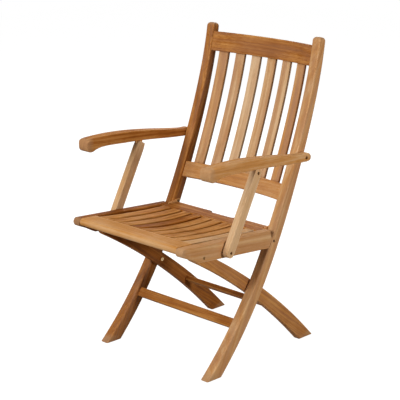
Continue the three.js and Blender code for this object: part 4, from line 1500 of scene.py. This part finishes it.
@dataclass(frozen=True)
class Bolt:
    """A turned bolt with a domed head and a round socket."""

    shank: float = 0.003
    radius: float = 0.0042
    depth: float = 0.0025
    socket: float = 0.0016

    def profile(self, tip: float, top: float) -> np.ndarray:
        """The bolt's outline from its tip to the bottom of its socket.

        The rim of the head is a quarter turn: crown * sin along and crown * (1 - cos) in.

        Args:
            tip, top: where the shank starts and the head ends along X.

        Returns:
            Rows of x and radius.
        """
        length, depth = abs(top - tip), self.depth
        chamfer, crown, ease = min(0.0006, self.shank * 0.3), min(depth * 0.45, 0.0012), 0.0002
        turn = np.linspace(0, QUARTER_TURN, 6)
        rim = np.stack([length - crown + crown * np.sin(turn), self.radius - crown * (1 - np.cos(turn))], 1)
        shank = [(0.0, 0.0), (0.0, self.shank - chamfer), (chamfer, self.shank), (length - depth, self.shank)]
        head = [(length - depth, self.radius - ease), (length - depth + ease, self.radius)]
        floor = length - depth * 0.6
        socket = [(length, self.socket), (floor, self.socket * 0.96), (floor, 0.0)]
        table = np.concatenate([shank, head, rim, socket])
        table[:, 0] = tip + math.copysign(1, top - tip) * table[:, 0]
        return table


@dataclass
class Fastenings:
    """Bolts, pins, washers, hinge plates and brackets."""

    seat: Seat
    arms: Arms
    struts: Struts
    leg_outer: float = 0.2225
    sunk: float = 0.004
    cross: tuple[float, float] = (0.006719, 0.222004)
    kept: tuple[str, ...] = (
        "hinge_plate",
        "hinge_pin",
        "plate_screw",
        "cross_washer",
        "strut_washer",
        "arm_bracket",
        "slide_pin",
    )

    def build(self, shop: Workshop, frame: dict) -> None:
        """Builds the turned pieces and dresses the plates, washers and brackets.

        Args:
            shop: the workshop.
            frame: the loaded frame, whose nodes keep their shapes here.
        """
        strut_face = self.struts.inner + self.struts.thick - self.sunk
        arm_face = self.arms.outer_at(self.arms.bolt[0]) - self.sunk
        arm_tip, plate_face = self.leg_outer - 0.019, self.leg_outer - 0.0012
        arm, stop = self.arms.bolt, self.seat.place(*self.seat.stop)
        small, plate, peg, cross = (
            Bolt(),
            Bolt(radius=0.0037, socket=0.0015),
            Bolt(0.004, 0.00402, 0.002),
            Bolt(0.004, 0.0052, 0.0032, 0.0018),
        )
        for side in Side:
            strut = side.word + "_strut"
            table = (  # name, body, slot, finish, bolt, tip, top of the head, and place
                ("arm_bolt", "back_frame", "brass", "brass", small, arm_tip, arm_face, arm),
                ("strut_foot_bolt", "seat", "brass", "brass", small, 0.20813, strut_face, self.struts.foot),
                ("strut_top_bolt", strut, "brass", "brass", small, 0.226, strut_face, self.struts.top),
                ("plate_bolt", "back_frame", "steel", "steel", plate, 0.1904, plate_face, PLATE_BOLT),
                ("stop_bolt", "seat", "brass", "brass", peg, 0.1968, 0.2192, stop),
                ("cross_bolt", "back_frame", "brass", "bright", cross, 0.2125, 0.1665, self.cross),
            )
            for name, body, slot, finish, bolt, tip, top, place in table:
                profile = bolt.profile(side.value * tip, side.value * top)
                shop.turned(f"{side.word}_{name}", body, slot, finish, profile, place)
        for name, node in frame["nodes"].items():
            if name.split("_", 1)[-1] in self.kept:
                finish = "plate" if name.endswith(("hinge_plate", "arm_bracket")) else "steel"
                node.data.materials.clear()
                node.data.materials.append(shop.finishes[finish])
                LOG.info("%s keeps its shape", name)


@dataclass
class Studio:
    """Camera, lamps, floor and background.

    Each lamp is a name with its place, its size and its power in watts.
    """

    place: Triple = (2.6129, -2.6572 + SHIFT_Y, 1.497)
    target: Triple = (0.0765, -0.066 + SHIFT_Y, 0.4735)
    lens: float = 120.84
    middle: Triple = (0, 0, 0.45)
    lamps: tuple[tuple, ...] = (
        ("key", (-0.5, -3.2, 2.15), 2.2, 112.0),
        ("flank", (3.4, 0.27, 0.95), 0.5, 58.0),
        ("top", (0.0, -0.3, 3.2), 2.2, 20.0),
        ("rim", (-1.6, 2.6, 2.0), 1.4, 50.0),
    )
    sky: float = 0.12
    floor_half: float = 6.0
    floor_glow: float = 0.968

    def aim(self, thing: bpy.types.Object, place: Triple, target: Triple) -> None:
        """Puts a camera or lamp at a place and turns it to a target."""
        thing.location = place
        thing.rotation_euler = (Vector(target) - Vector(place)).to_track_quat("-Z", "Y").to_euler()

    def camera(self) -> None:
        """Sets the camera at the photograph's place and angle."""
        data = bpy.data.cameras.new("camera")
        data.lens = self.lens
        data.sensor_width = 36.0
        data.clip_end = 50.0
        camera = new_object("camera", data)
        self.aim(camera, self.place, self.target)
        bpy.context.scene.camera = camera

    def lamp(self, name: str, place: Triple, size: float, power: float) -> None:
        """Adds one square soft lamp that faces the chair's middle.

        Args:
            name: the lamp's name.
            place: where it is.
            size: the length of its side.
            power: its power in watts.
        """
        data = bpy.data.lights.new(name, "AREA")
        data.shape = "SQUARE"
        data.size = size
        data.energy = power
        self.aim(new_object(name, data), place, self.middle)

    def seen_white(self, sheet: Sheet, plain: Socket, white: Socket) -> Socket:
        """Mixes a plain shader with a white one that the camera, gloss and glass see.

        Args:
            sheet: the node tree.
            plain: what other rays see.
            white: what the camera, glossy and transmission rays see.

        Returns:
            The mixed shader.
        """
        path = sheet.add("LightPath")
        seen = sheet.math("MAXIMUM", path.outputs["Is Camera Ray"], path.outputs["Is Glossy Ray"])
        seen = sheet.math("MAXIMUM", seen, path.outputs["Is Transmission Ray"])
        return sheet.add("MixShader", {0: seen, 1: plain, 2: white}).outputs[0]

    def floor(self) -> None:
        """Adds a pale floor that reads as white to the camera and keeps the chair's shadow."""
        half = self.floor_half
        mesh = bpy.data.meshes.new("floor")
        corners = [(-half, -half, 0), (half, -half, 0), (half, half, 0), (-half, half, 0)]
        mesh.from_pydata(corners, [], [(0, 1, 2, 3)])
        floor = new_object("floor", mesh)
        material = bpy.data.materials.new("pale_floor")
        sheet = Sheet.bare(material)
        plain = sheet.add("BsdfDiffuse", {"Color": (0.3, 0.29, 0.28, 1)})
        dim = sheet.add("BsdfDiffuse", {"Color": (0.2, 0.2, 0.2, 1)})
        glow = sheet.add("Emission", {"Color": (1, 1, 1, 1), "Strength": self.floor_glow})
        both = sheet.add("AddShader", {0: dim.outputs[0], 1: glow.outputs[0]})
        surface = self.seen_white(sheet, plain.outputs[0], both.outputs[0])
        sheet.add("OutputMaterial", {"Surface": surface})
        mesh.materials.append(material)

    def sky_light(self) -> None:
        """Sets the world: soft light for the chair, white for the camera and for gloss."""
        world = bpy.data.worlds.new("studio")
        bpy.context.scene.world = world
        sheet = Sheet.bare(world)
        soft = sheet.add("Background", {"Color": (1.0, 0.985, 0.96, 1), "Strength": self.sky})
        white = sheet.add("Background", {"Color": (1, 1, 1, 1), "Strength": 1.0})
        sheet.add("OutputWorld", {"Surface": self.seen_white(sheet, soft.outputs[0], white.outputs[0])})

    def build(self) -> None:
        """Builds the whole studio."""
        self.camera()
        for lamp in self.lamps:
            self.lamp(*lamp)
        self.floor()
        self.sky_light()
        bpy.context.scene.view_settings.view_transform = "Standard"


def main() -> None:
    """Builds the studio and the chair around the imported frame."""
    logging.basicConfig(level=logging.INFO, format="%(name)s: %(message)s")
    for thing in list(bpy.data.objects):
        bpy.data.objects.remove(thing)
    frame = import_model()
    Studio().build()
    groups = {"figure": figure_group(), "scuffs": scuff_group()}
    finishes = {
        "teak": TeakFinish().build(groups),
        # the bolt heads are dark partly as painted shade of the holes they sit in
        "steel": MetalFinish("dark_bronze", (98, 76, 54), (58, 42, 30), 0.4).build(groups),
        "plate": MetalFinish("brown_bronze", (198, 148, 94), (164, 114, 66), 0.5).build(groups),
        "brass": MetalFinish("dulled_brass", (150, 118, 76), (92, 68, 44), 0.35).build(groups),
        "bright": MetalFinish("rubbed_brass", (214, 186, 140), (176, 144, 98), 0.3).build(groups),
    }
    shop = Workshop(finishes)
    seat, arms, struts = Seat(), Arms(), Struts()
    for assembly in (BackFrame(), RearLegs(), seat, arms, struts):
        assembly.build(shop)
        LOG.info("%s done", type(assembly).__name__)
    Fastenings(seat, arms, struts).build(shop, frame)


if __name__ == "__main__":
    main()
